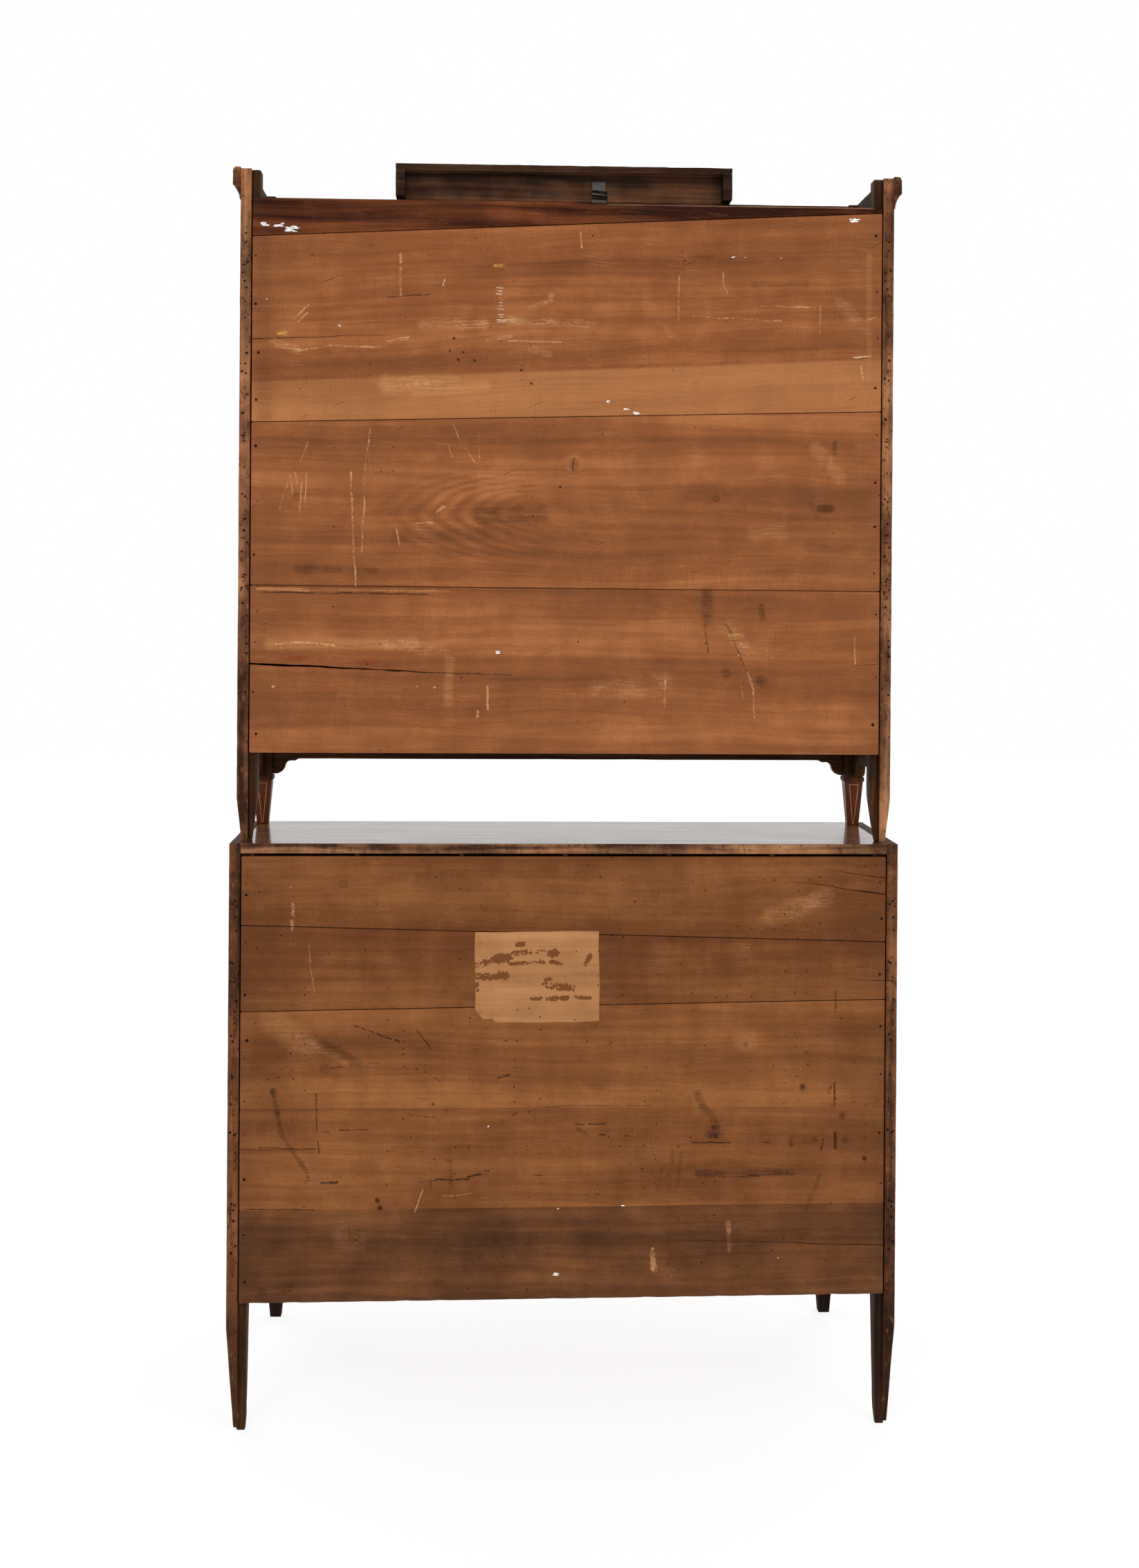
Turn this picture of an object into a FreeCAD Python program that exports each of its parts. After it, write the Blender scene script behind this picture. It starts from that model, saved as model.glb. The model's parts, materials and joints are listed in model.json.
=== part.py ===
import FreeCAD, Part
import math
import os

# Slant-front writing desk with an upper cabinet that stands on the desk's top on four short feet.
# Millimetres, +Z up, the front faces -Y, the origin is on the floor in the middle of the footprint.
# Depths are measured forward from the desk's back plane. Right means +X, as seen from the front.

Vector = FreeCAD.Vector

# Desk case
DESK_WIDTH = 1200.0
DESK_DEPTH = 605.0
DESK_HEIGHT = 1045.0
DESK_TOP_DEPTH = 346.0
WRITING_HEIGHT = 760.0
CASE_CLEARANCE = 231.0
SIDE_BOARD = 20.0
TOP_BOARD = 18.0
CASE_BOARD = 18.0

# Back boards, nailed between the side boards onto the rear posts
BACK_BOARD = 13.0
BACK_END_GAP = 2.0
BACK_SEAM = 1.4
BACK_TOP_GAP = 5.0
# Heights of the seams above the lowest board's underside, at the right end and at the left end
DESK_FOOT_HEIGHTS = (-6.0, 2.5)
DESK_SEAM_HEIGHTS = [(158.0, 166.0), (340.0, 340.0), (514.0, 534.0), (668.0, 638.0)]
CABINET_SEAM_HEIGHTS = [(301.0, 297.0), (594.0, 624.0), (928.0, 985.0)]

# Rear legs of the desk: the side board runs down to the floor with a post inside it
REAR_POST_WIDTH = 15.0
REAR_POST_DEPTH = 45.0
REAR_FOOT_DEPTH = 25.0
REAR_TAPER = 14.0
REAR_TAPER_HEIGHT = 180.0

# Front legs of the desk: tapered square feet under a collar, with the corner post above
FRONT_LEG_INSET = 33.0
FRONT_LEG_TOP = 58.0
FRONT_LEG_FOOT = 22.0
FRONT_COLLAR = 64.0
FRONT_COLLAR_HEIGHT = 12.0
FRONT_POST = 40.0

# Drawers
TOP_DRAWER_OPENING = 123.0
DRAWER_FIT = 1.5
DRAWER_FRONT = 20.0
DRAWER_SIDE = 12.0
DRAWER_BOTTOM = 8.0
DRAWER_REAR_ROOM = 20.0
DRAWER_SIDE_DROP = 12.0
RUNNER_WIDTH = 70.0
GUIDE_HEIGHT = 20.0
KNOB_INSET = 205.0
KNOB_REACH = 30.0
KNOB_ROSETTE = 17.0
PLATE_WIDTH = 24.0
PLATE_HEIGHT = 36.0
PLATE_THICK = 1.5
PLATE_RISE = 16.0

# Fall lid and the two pull-out supports under it
LID_THICK = 22.0
LID_END_GAP = 1.0
LID_HINGE_GAP = 0.5
LID_TOP_GAP = 1.5
LID_REST_GAP = 0.4
LID_CLAMP = 70.0
LID_HINGE_INSET = 220.0
STOP_RAIL_DEPTH = 30.0
STOP_RAIL_HEIGHT = 27.0
LOPER_THICK = 22.0
LOPER_FIT = 1.0
LOPER_LENGTH = 440.0
LOPER_RECESS = 2.0
LOPER_LID_GAP = 0.3
LOPER_DIVIDER = 16.0
LOCK_WIDTH = 70.0
LOCK_HEIGHT = 42.0
LOCK_DEPTH = 12.0
LOCK_FIT = 0.25

# Hinges
HINGE_LENGTH = 60.0
HINGE_BARREL = 3.2
HINGE_PIN = 1.4
HINGE_RUNNING = 0.05
HINGE_LEAF = 1.0
HINGE_LEAF_WIDTH = 36.0
HINGE_ROOM = 0.5
HINGE_KNUCKLE_GAP = 0.2

# Nest of small drawers and pigeonholes behind the lid
NEST_DEPTH = 250.0
NEST_BOARD = 8.0
NEST_SHELF = 10.0
NEST_END_GAP = 0.5
NEST_DRAWER_OPENING = 76.0
NEST_DRAWERS = 4
NEST_HOLES = 6
NEST_FIT = 1.0
NEST_FRONT = 12.0
NEST_SIDE = 7.0
NEST_BOTTOM = 5.0
NEST_REAR_ROOM = 8.0
NEST_KNOB_REACH = 14.0
VALANCE_HEIGHT = 30.0
VALANCE_RISE = 17.0
VALANCE_THICK = 6.0
VALANCE_FOOT = 12.0

# Upper cabinet
CABINET_SIDE_INSET = 9.0
CABINET_FRONT_INSET = 16.0
CABINET_SETBACK = 30.0
CABINET_BACK_HEIGHT = 997.0
CABINET_CLEARANCE = 159.0
CABINET_RISE = 52.0
CABINET_REAR_POST = 15.0
CABINET_REAR_POST_DEPTH = 35.0
CABINET_POST = 36.0
CABINET_FOOT = 22.0
CABINET_FOOT_HEIGHT = 85.0
CABINET_COLLAR = 40.0
CABINET_COLLAR_HEIGHT = 8.0
CABINET_TAPER_HEIGHT = 80.0
CABINET_OUTER_TAPER = 9.0
CABINET_INNER_TAPER = 9.0
CABINET_REAR_FOOT_DEPTH = 25.0
APRON_CLEARANCE = 125.0
APRON_THICK = 18.0
BRACKET_DROP = 29.0
BRACKET_REACH = 50.0
FRIEZE_HEIGHT = 123.0
FRIEZE_THICK = 22.0
SHELVES = 3
SHELF_CLEAT = 16.0
SHELF_BEARING = 14.0
SHELF_FRONT_ROOM = 12.0

# Cabinet doors
DOOR_THICK = 20.0
DOOR_HINGE_GAP = 2.4
DOOR_MEETING_GAP = 2.0
DOOR_EDGE_GAP = 2.5
DOOR_STILE = 62.0
DOOR_RAIL = 72.0
DOOR_PANEL = 9.0
DOOR_TONGUE = 8.0
DOOR_HINGE_INSET = 145.0
DOOR_LEAF_INSET = 1.0
DOOR_KNOB_HEIGHT = 406.0
DOOR_PLATE_HEIGHT = 470.0
DOOR_KNOB_REACH = 24.0

# Cornice and the raised block in the middle of the front
CORNICE_HEIGHT = 58.0
CORNICE_REACH = 14.0
CORNICE_PROUD = 3.0
BLOCK_WIDTH = 648.0
BLOCK_HEIGHT = 62.5
BLOCK_RETURN = 18.0
BLOCK_RETURN_DEPTH = 40.0
BLOCK_CAP = 11.0
BLOCK_CAP_REACH = 8.0
BLOCK_PANEL = 12.0
STRAP_WIDTH = 26.0
STRAP_THICK = 4.0
STRAP_FOOT = 40.0
STRAP_RISE = 91.0
STRAP_PLACE = -68.0

# The footprint runs from the back plane to the knobs, and the origin is in its middle
BACK_Y = (DESK_DEPTH + KNOB_REACH) / 2

# Slope of the lid: its outer face meets the top's front edge and the case's front plane
SLOPE_RUN = DESK_DEPTH - DESK_TOP_DEPTH
SLOPE = math.atan2(DESK_HEIGHT - WRITING_HEIGHT, SLOPE_RUN)
for refinement in range(40):
    SLOPE_RISE = DESK_HEIGHT - WRITING_HEIGHT - LID_THICK * math.cos(SLOPE)
    SLOPE = math.atan2(SLOPE_RISE, SLOPE_RUN)
SLOPE_FOOT = DESK_HEIGHT - SLOPE_RISE
LID_AXIS_DEPTH = DESK_DEPTH - LID_THICK * math.sin(SLOPE)
LID_LENGTH = SLOPE_RUN / math.cos(SLOPE) - LID_TOP_GAP
LID_SWING = 180.0 - math.degrees(SLOPE)

# Planes of the desk that several pieces share
DESK_HALF = DESK_WIDTH / 2
DESK_INNER = DESK_HALF - SIDE_BOARD
POST_INNER = DESK_INNER - FRONT_POST
REAR_POST_INNER = DESK_INNER - REAR_POST_WIDTH
REAR_POST_FRONT = BACK_BOARD + REAR_POST_DEPTH
TOP_UNDER = DESK_HEIGHT - TOP_BOARD
BED_UNDER = WRITING_HEIGHT - LID_THICK
CASE_FLOOR = CASE_CLEARANCE + CASE_BOARD
POST_REAR = DESK_DEPTH - FRONT_POST
LOW_OPENING = (BED_UNDER - CASE_FLOOR - TOP_DRAWER_OPENING - 2 * CASE_BOARD) / 2
LOW_RAIL = CASE_FLOOR + LOW_OPENING
HIGH_RAIL = LOW_RAIL + CASE_BOARD + LOW_OPENING
TOP_TIER = HIGH_RAIL + CASE_BOARD
DIVIDER_INNER = DESK_INNER - LOPER_THICK - 2 * LOPER_FIT - LOPER_DIVIDER

# Planes of the cabinet that several pieces share
CABINET_HALF = DESK_HALF - CABINET_SIDE_INSET
CABINET_INNER = CABINET_HALF - SIDE_BOARD
CABINET_FRONT = DESK_TOP_DEPTH - CABINET_FRONT_INSET
CABINET_POST_INNER = CABINET_HALF - CABINET_POST
CABINET_POST_REAR = CABINET_FRONT - CABINET_POST
CABINET_BACK_IN = CABINET_SETBACK + BACK_BOARD
CABINET_REAR_INNER = CABINET_INNER - CABINET_REAR_POST
CABINET_REAR_FRONT = CABINET_BACK_IN + CABINET_REAR_POST_DEPTH
CABINET_BACK_LOW = DESK_HEIGHT + CABINET_CLEARANCE
CABINET_BACK_TOP = CABINET_BACK_LOW + CABINET_BACK_HEIGHT
CABINET_TOP = CABINET_BACK_TOP + CABINET_RISE
CABINET_FLOOR = CABINET_BACK_LOW + CASE_BOARD
CABINET_CEILING = CABINET_BACK_TOP - CASE_BOARD
APRON_LOW = DESK_HEIGHT + APRON_CLEARANCE
BRACKET_LOW = APRON_LOW - BRACKET_DROP
FRIEZE_REAR = CABINET_FRONT - FRIEZE_THICK
FRIEZE_LOW = CABINET_TOP - FRIEZE_HEIGHT


def spot(x, depth, z):
    """Point at a depth forward of the desk's back plane."""
    return Vector(x, BACK_Y - depth, z)


def board(x_low, x_high, rear, front, z_low, z_high):
    """Rectangular board between two depths."""
    corner = spot(x_low, front, z_low)
    return Part.makeBox(x_high - x_low, front - rear, z_high - z_low, corner)


def pair(shape):
    """A piece and its mirror image on the other side."""
    return [shape, mirrored(shape)]


def mirrored(shape):
    """The same piece on the other side of the middle plane."""
    return shape.mirror(Vector(0, 0, 0), Vector(1, 0, 0))


def group(solids):
    """Several separate solids kept together."""
    return Part.makeCompound(solids)


def plain_prism(points, place, sweep):
    """Prism from a list of flat points, put in space by a placing function."""
    corners = [place(first, second) for first, second in points]
    wire = Part.makePolygon(corners + corners[:1])
    return Part.Face(wire).extrude(sweep)


def prism_across(points, x_low, x_high):
    """Prism along X from a profile of depths and heights."""
    return plain_prism(points, lambda depth, z: spot(x_low, depth, z), Vector(x_high - x_low, 0, 0))


def prism_forward(points, rear, front):
    """Prism along the depth from a profile of X and heights."""
    return plain_prism(points, lambda x, z: spot(x, front, z), Vector(0, front - rear, 0))


def prism_up(points, z_low, z_high):
    """Prism upwards from a plan of X and depths."""
    return plain_prism(points, lambda x, depth: spot(x, depth, z_low), Vector(0, 0, z_high - z_low))


class Outline:
    """Closed flat outline of lines and arcs that is swept into a solid."""

    def __init__(self, place, first, second):
        self.place = place
        self.edges = []
        self.begin = place(first, second)
        self.now = self.begin

    def line(self, first, second):
        """Straight edge to a point."""
        end = self.place(first, second)
        self.edges.append(Part.LineSegment(self.now, end).toShape())
        self.now = end

    def arc(self, middle, end):
        """Arc through a middle point to an end point."""
        through = self.place(*middle)
        last = self.place(*end)
        self.edges.append(Part.Arc(self.now, through, last).toShape())
        self.now = last

    def sweep(self, direction):
        """Close the outline and sweep it."""
        if self.now.distanceToPoint(self.begin) > 1e-6:
            self.edges.append(Part.LineSegment(self.now, self.begin).toShape())
        return Part.Face(Part.Wire(self.edges)).extrude(direction)


def bracket_marks():
    """Offsets from a post and heights over the bracket's foot, along its curved lower edge."""
    lobe = 0.54 * BRACKET_DROP
    cove = 0.32 * BRACKET_DROP
    flat = 0.07 * BRACKET_REACH
    lobe_reach = 0.42 * BRACKET_REACH
    cove_reach = 0.24 * BRACKET_REACH
    slant = math.sqrt(0.5)
    lobe_middle = (flat + lobe_reach * slant, lobe * (1 - slant))
    lobe_end = (flat + lobe_reach, lobe)
    cove_middle = (flat + lobe_reach + cove_reach * (1 - slant), lobe + cove * slant)
    cove_end = (flat + lobe_reach + cove_reach, lobe + cove)
    ledge = (flat + lobe_reach + 1.6 * cove_reach, lobe + cove)
    tip = (BRACKET_REACH, BRACKET_DROP)
    return flat, lobe_middle, lobe_end, cove_middle, cove_end, ledge, tip


def bracket_out(outline, post, way):
    """Lower edge from a post's face outwards, from the bracket's foot to the straight edge."""
    flat, lobe_middle, lobe_end, cove_middle, cove_end, ledge, tip = bracket_marks()

    def at(mark):
        return post + way * mark[0], BRACKET_LOW + mark[1]

    outline.line(*at((flat, 0.0)))
    outline.arc(at(lobe_middle), at(lobe_end))
    outline.arc(at(cove_middle), at(cove_end))
    outline.line(*at(ledge))
    outline.line(*at(tip))


def bracket_in(outline, post, way):
    """The same edge in reverse, from the straight edge to the post's face."""
    flat, lobe_middle, lobe_end, cove_middle, cove_end, ledge, tip = bracket_marks()

    def at(mark):
        return post + way * mark[0], BRACKET_LOW + mark[1]

    outline.line(*at(tip))
    outline.line(*at(ledge))
    outline.line(*at(cove_end))
    outline.arc(at(cove_middle), at(lobe_end))
    outline.arc(at(lobe_middle), at((flat, 0.0)))
    outline.line(post, BRACKET_LOW)


def square_taper(x_mid, depth_mid, low_width, high_width, z_low, z_high):
    """Four-sided foot that is narrower at the floor."""
    def ring(width, z):
        half = width / 2
        corners = [spot(x_mid + sx * half, depth_mid + sy * half, z)
                   for sx, sy in ((-1, -1), (1, -1), (1, 1), (-1, 1))]
        return Part.makePolygon(corners + corners[:1])
    return Part.makeLoft([ring(low_width, z_low), ring(high_width, z_high)], True, True)


def square_block(x_mid, depth_mid, width, z_low, z_high):
    """Square block about a vertical middle line."""
    half = width / 2
    return board(x_mid - half, x_mid + half, depth_mid - half, depth_mid + half, z_low, z_high)


def turned(profile, foot, forward):
    """Turned piece from radii and reaches, standing forward of a point."""
    points = [Vector(radius, 0, reach) for radius, reach in profile]
    wire = Part.makePolygon(points + points[:1])
    solid = Part.Face(wire).revolve(Vector(0, 0, 0), Vector(0, 0, 1), 360)
    turn = FreeCAD.Rotation(Vector(0, 0, 1), forward)
    solid.Placement = FreeCAD.Placement(foot, turn)
    return solid


def pull_knob(foot, reach, rosette):
    """Pull knob with a round backplate, a neck and a bulb."""
    bulb = 0.42 * reach
    profile = [
        (0.0, 0.0), (rosette, 0.0), (rosette, 0.06 * reach), (0.75 * rosette, 0.14 * reach),
        (0.36 * bulb, 0.2 * reach), (0.34 * bulb, 0.42 * reach), (0.72 * bulb, 0.52 * reach),
        (0.97 * bulb, 0.64 * reach), (bulb, 0.76 * reach), (0.84 * bulb, 0.9 * reach),
        (0.46 * bulb, 0.98 * reach), (0.0, reach),
    ]
    return turned(profile, foot, Vector(0, -1, 0))


def key_plate(width, height, thick):
    """Oval plate with a keyhole, flat on the XY plane and centred on the origin."""
    oval = Part.Ellipse(Vector(0, 0, 0), height / 2, width / 2).toShape()
    plate = Part.Face(Part.Wire([oval])).extrude(Vector(0, 0, thick))
    plate.rotate(Vector(0, 0, 0), Vector(0, 0, 1), 90)
    hole = 0.13 * width
    eye = Part.makeCylinder(hole, 3 * thick, Vector(0, 0.12 * height, -thick))
    slot = Part.makeBox(hole, 0.3 * height, 3 * thick, Vector(-hole / 2, -0.18 * height, -thick))
    return plate.cut(eye.fuse(slot))


def key_plate_on_front(x, depth, z):
    """Key plate standing on an upright front face."""
    plate = key_plate(PLATE_WIDTH, PLATE_HEIGHT, PLATE_THICK)
    plate.rotate(Vector(0, 0, 0), Vector(1, 0, 0), 90)
    plate.translate(spot(x, depth, z))
    return plate


def slanted_boards(half, rear, front, low, high, seams, foot=(0.0, 0.0)):
    """Horizontal back boards between two heights, with seams and a foot that run a little out of level."""
    tall = high - low
    edges = [foot] + seams + [(tall, tall)]
    boards = []
    for index in range(len(edges) - 1):
        bottom = edges[index]
        top = edges[index + 1]
        under = 0.0 if index == 0 else BACK_SEAM / 2
        over = 0.0 if index == len(edges) - 2 else BACK_SEAM / 2
        points = [
            (half, low + bottom[0] + under), (half, low + top[0] - over),
            (-half, low + top[1] - over), (-half, low + bottom[1] + under),
        ]
        boards.append(prism_forward(points, rear, front))
    return boards


def desk_side():
    """Right side board of the desk with the outer half of its rear leg."""
    profile = [
        (0.0, 0.0), (REAR_FOOT_DEPTH, 0.0), (REAR_POST_FRONT, CASE_CLEARANCE),
        (DESK_DEPTH, CASE_CLEARANCE), (DESK_DEPTH, SLOPE_FOOT),
        (DESK_TOP_DEPTH, DESK_HEIGHT), (0.0, DESK_HEIGHT),
    ]
    side = prism_across(profile, DESK_INNER, DESK_HALF)
    waste = [(DESK_HALF, REAR_TAPER_HEIGHT), (DESK_HALF - REAR_TAPER, 0.0), (DESK_HALF, 0.0)]
    return side.cut(prism_forward(waste, 0.0, REAR_POST_FRONT))


def desk_rear_post():
    """Right rear post behind the ends of the back boards, with the inner half of the rear leg."""
    profile = [
        (BACK_BOARD, 0.0), (REAR_FOOT_DEPTH, 0.0), (REAR_POST_FRONT, CASE_CLEARANCE),
        (REAR_POST_FRONT, TOP_UNDER), (BACK_BOARD, TOP_UNDER),
    ]
    return prism_across(profile, REAR_POST_INNER, DESK_INNER)


def desk_front_leg():
    """Right front leg: tapered foot, collar, and the corner post beside the drawers."""
    x_mid = DESK_HALF - FRONT_LEG_INSET
    depth_mid = DESK_DEPTH - FRONT_LEG_INSET
    collar_low = CASE_CLEARANCE - FRONT_COLLAR_HEIGHT
    foot = square_taper(x_mid, depth_mid, FRONT_LEG_FOOT, FRONT_LEG_TOP, 0.0, collar_low)
    collar = square_block(x_mid, depth_mid, FRONT_COLLAR, collar_low, CASE_CLEARANCE)
    post = board(POST_INNER, DESK_INNER, POST_REAR, DESK_DEPTH, CASE_CLEARANCE, HIGH_RAIL)
    return foot.fuse([collar, post]).removeSplitter()


def notched_plan(inner, rear, front, rear_inner, rear_front):
    """Plan of a board between the sides, notched round the two rear posts."""
    return [
        (-rear_inner, rear), (rear_inner, rear), (rear_inner, rear_front), (inner, rear_front),
        (inner, front), (-inner, front), (-inner, rear_front), (-rear_inner, rear_front),
    ]


def desk_level_board(front, z_low, z_high):
    """Level board of the desk's case, notched round the rear posts."""
    plan = notched_plan(DESK_INNER, BACK_BOARD, front, REAR_POST_INNER, REAR_POST_FRONT)
    return prism_up(plan, z_low, z_high)


def desk_top_board():
    """Top between the sides, with its front edge square to the lid."""
    shift = TOP_BOARD * math.tan(SLOPE)
    profile = [
        (0.0, TOP_UNDER), (DESK_TOP_DEPTH - shift, TOP_UNDER),
        (DESK_TOP_DEPTH, DESK_HEIGHT), (0.0, DESK_HEIGHT),
    ]
    return prism_across(profile, -DESK_INNER, DESK_INNER)


def lid_inner_depth(z):
    """Depth of the closed lid's inner face at a height."""
    return LID_AXIS_DEPTH - (z - WRITING_HEIGHT) / math.tan(SLOPE)


def lid_stop_rail():
    """Rail under the top's front edge that the closed lid rests on."""
    back_off = LID_REST_GAP / math.sin(SLOPE)
    low = TOP_UNDER - STOP_RAIL_HEIGHT
    high_front = lid_inner_depth(TOP_UNDER) - back_off
    low_front = lid_inner_depth(low) - back_off
    profile = [
        (high_front - STOP_RAIL_DEPTH, low), (low_front, low),
        (high_front, TOP_UNDER), (high_front - STOP_RAIL_DEPTH, TOP_UNDER),
    ]
    return prism_across(profile, -DESK_INNER, DESK_INNER)


def lid_hinge_places():
    """X of the middle of each lid hinge."""
    place = DESK_INNER - LID_HINGE_INSET
    return [place, -place]


def lid_hinge_room(x_mid):
    """Space that a lid hinge's barrel needs in the bed's and the lid's edges."""
    half = HINGE_LENGTH / 2 + HINGE_ROOM
    start = spot(x_mid - half, LID_AXIS_DEPTH, WRITING_HEIGHT)
    return Part.makeCylinder(HINGE_BARREL + HINGE_ROOM, 2 * half, start, Vector(1, 0, 0))


def lid_leaf(x_mid, way, near=HINGE_BARREL + HINGE_ROOM):
    """Plate of a lid hinge let into the wood, behind the pin line or in front of it."""
    ends = sorted([LID_AXIS_DEPTH + way * near, LID_AXIS_DEPTH + way * HINGE_LEAF_WIDTH])
    half = HINGE_LENGTH / 2
    return board(x_mid - half, x_mid + half, ends[0], ends[1], WRITING_HEIGHT - HINGE_LEAF, WRITING_HEIGHT)


def lid_knuckle(x_mid, low, high, way):
    """One knuckle of a lid hinge with the tongue that joins it to its plate."""
    start = spot(x_mid + low, LID_AXIS_DEPTH, WRITING_HEIGHT)
    barrel = Part.makeCylinder(HINGE_BARREL, high - low, start, Vector(1, 0, 0))
    reach = HINGE_BARREL + HINGE_ROOM
    ends = sorted([LID_AXIS_DEPTH + way * HINGE_PIN * 1.3, LID_AXIS_DEPTH + way * reach])
    tongue = board(x_mid + low, x_mid + high, ends[0], ends[1], WRITING_HEIGHT - HINGE_LEAF, WRITING_HEIGHT)
    return barrel.fuse(tongue)


def knuckle_spans():
    """Fixed and moving stretches along a hinge's pin."""
    half = HINGE_LENGTH / 2
    third = HINGE_LENGTH / 6
    fixed = [(-half, -third - HINGE_KNUCKLE_GAP), (third + HINGE_KNUCKLE_GAP, half)]
    return fixed, (-third, third)


def lid_hinge_fixed(x_mid):
    """Half of a lid hinge on the writing bed, with the pin."""
    fixed, moving = knuckle_spans()
    pieces = [lid_knuckle(x_mid, low, high, -1) for low, high in fixed]
    start = spot(x_mid - HINGE_LENGTH / 2, LID_AXIS_DEPTH, WRITING_HEIGHT)
    pieces.append(Part.makeCylinder(HINGE_PIN, HINGE_LENGTH, start, Vector(1, 0, 0)))
    return lid_leaf(x_mid, -1).fuse(pieces).removeSplitter()


def lid_hinge_moving(x_mid):
    """Half of a lid hinge on the lid, drawn with the lid open."""
    fixed, moving = knuckle_spans()
    knuckle = lid_knuckle(x_mid, moving[0], moving[1], 1)
    start = spot(x_mid - HINGE_LENGTH / 2, LID_AXIS_DEPTH, WRITING_HEIGHT)
    bore = Part.makeCylinder(HINGE_PIN + HINGE_RUNNING, HINGE_LENGTH, start, Vector(1, 0, 0))
    return lid_leaf(x_mid, 1).fuse(knuckle).cut(bore).removeSplitter()


def writing_bed():
    """Writing bed with recesses for the lid's hinges."""
    bed = desk_level_board(LID_AXIS_DEPTH - LID_HINGE_GAP, BED_UNDER, WRITING_HEIGHT)
    for x_mid in lid_hinge_places():
        bed = bed.cut(lid_leaf(x_mid, -1, HINGE_BARREL)).cut(lid_hinge_room(x_mid))
    return bed


def close_lid(shape):
    """Turn a piece of the lid from open, level with the bed, to closed."""
    pivot = spot(0, LID_AXIS_DEPTH, WRITING_HEIGHT)
    closed = shape.copy()
    closed.rotate(pivot, Vector(1, 0, 0), -LID_SWING)
    return closed


def lid_parts():
    """Panel, end clamps, and metal fittings with the lock, all in the closed place of the lid."""
    rear = LID_AXIS_DEPTH + LID_HINGE_GAP
    front = LID_AXIS_DEPTH + LID_LENGTH
    half = DESK_INNER - LID_END_GAP
    panel_half = half - LID_CLAMP
    panel = board(-panel_half, panel_half, rear, front, BED_UNDER, WRITING_HEIGHT)
    clamp = board(panel_half, half, rear, front, BED_UNDER, WRITING_HEIGHT)
    for x_mid in lid_hinge_places():
        panel = panel.cut(lid_leaf(x_mid, 1, HINGE_BARREL)).cut(lid_hinge_room(x_mid))
    lock_low = WRITING_HEIGHT - LOCK_DEPTH
    lock_half = LOCK_WIDTH / 2
    pocket = board(-lock_half - LOCK_FIT, lock_half + LOCK_FIT, front - LOCK_HEIGHT - LOCK_FIT, front,
                   lock_low, WRITING_HEIGHT)
    lock = board(-lock_half, lock_half, front - LOCK_HEIGHT, front, lock_low, WRITING_HEIGHT)
    panel = panel.cut(pocket)
    plate = key_plate(PLATE_WIDTH, PLATE_HEIGHT, PLATE_THICK)
    plate.rotate(Vector(0, 0, 0), Vector(1, 0, 0), 180)
    plate.translate(spot(0, front - 0.6 * LOCK_HEIGHT, BED_UNDER))
    fittings = [lid_hinge_moving(x_mid) for x_mid in lid_hinge_places()] + [plate]
    return {
        "lid_panel": close_lid(panel),
        "lid_end_clamps": group([close_lid(piece) for piece in pair(clamp)]),
        "lid_fittings": group([close_lid(piece) for piece in fittings + [lock]]),
    }


def drawer_rails():
    """Rails across the front below each drawer."""
    low = board(-POST_INNER, POST_INNER, POST_REAR, DESK_DEPTH, CASE_CLEARANCE, CASE_FLOOR)
    middle = board(-POST_INNER, POST_INNER, POST_REAR, DESK_DEPTH, LOW_RAIL, LOW_RAIL + CASE_BOARD)
    high = board(-DESK_INNER, DESK_INNER, POST_REAR, DESK_DEPTH, HIGH_RAIL, TOP_TIER)
    return group([low, middle, high])


def drawer_runners():
    """Runners under the drawers, guides beside them, and the dividers beside the lid supports."""
    inner = DESK_INNER - RUNNER_WIDTH
    pieces = []
    for z_low in (LOW_RAIL, HIGH_RAIL):
        runner = board(inner, DESK_INNER, REAR_POST_FRONT, POST_REAR, z_low, z_low + CASE_BOARD)
        pieces += pair(runner)
    for z_low in (CASE_FLOOR, LOW_RAIL + CASE_BOARD):
        guide = board(POST_INNER, DESK_INNER, REAR_POST_FRONT, POST_REAR, z_low, z_low + GUIDE_HEIGHT)
        pieces += pair(guide)
    lowered = BED_UNDER - LOPER_LID_GAP
    step = LID_AXIS_DEPTH - LID_HINGE_GAP
    profile = [
        (REAR_POST_FRONT, TOP_TIER), (DESK_DEPTH, TOP_TIER), (DESK_DEPTH, lowered),
        (step, lowered), (step, BED_UNDER), (REAR_POST_FRONT, BED_UNDER),
    ]
    divider = prism_across(profile, DIVIDER_INNER, DIVIDER_INNER + LOPER_DIVIDER)
    return group(pieces + pair(divider))


def loper():
    """Right pull-out support with a small turned knob."""
    x_low = DESK_INNER - LOPER_FIT - LOPER_THICK
    front = DESK_DEPTH - LOPER_RECESS
    arm = board(x_low, x_low + LOPER_THICK, front - LOPER_LENGTH, front,
                TOP_TIER + LOPER_FIT, BED_UNDER - LOPER_LID_GAP)
    foot = spot(x_low + LOPER_THICK / 2, front, (TOP_TIER + BED_UNDER) / 2)
    return group([arm, pull_knob(foot, NEST_KNOB_REACH, 0.4 * LOPER_THICK)])


def open_box(half, rear, front, z_low, z_high, side, bottom):
    """Sides, back and bottom of a drawer behind its front."""
    pieces = pair(board(half - side, half, rear, front, z_low, z_high))
    pieces.append(board(-half + side, half - side, rear, rear + side, z_low, z_high))
    pieces.append(board(-half + side, half - side, rear + side, front, z_low, z_low + bottom))
    return pieces


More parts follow.
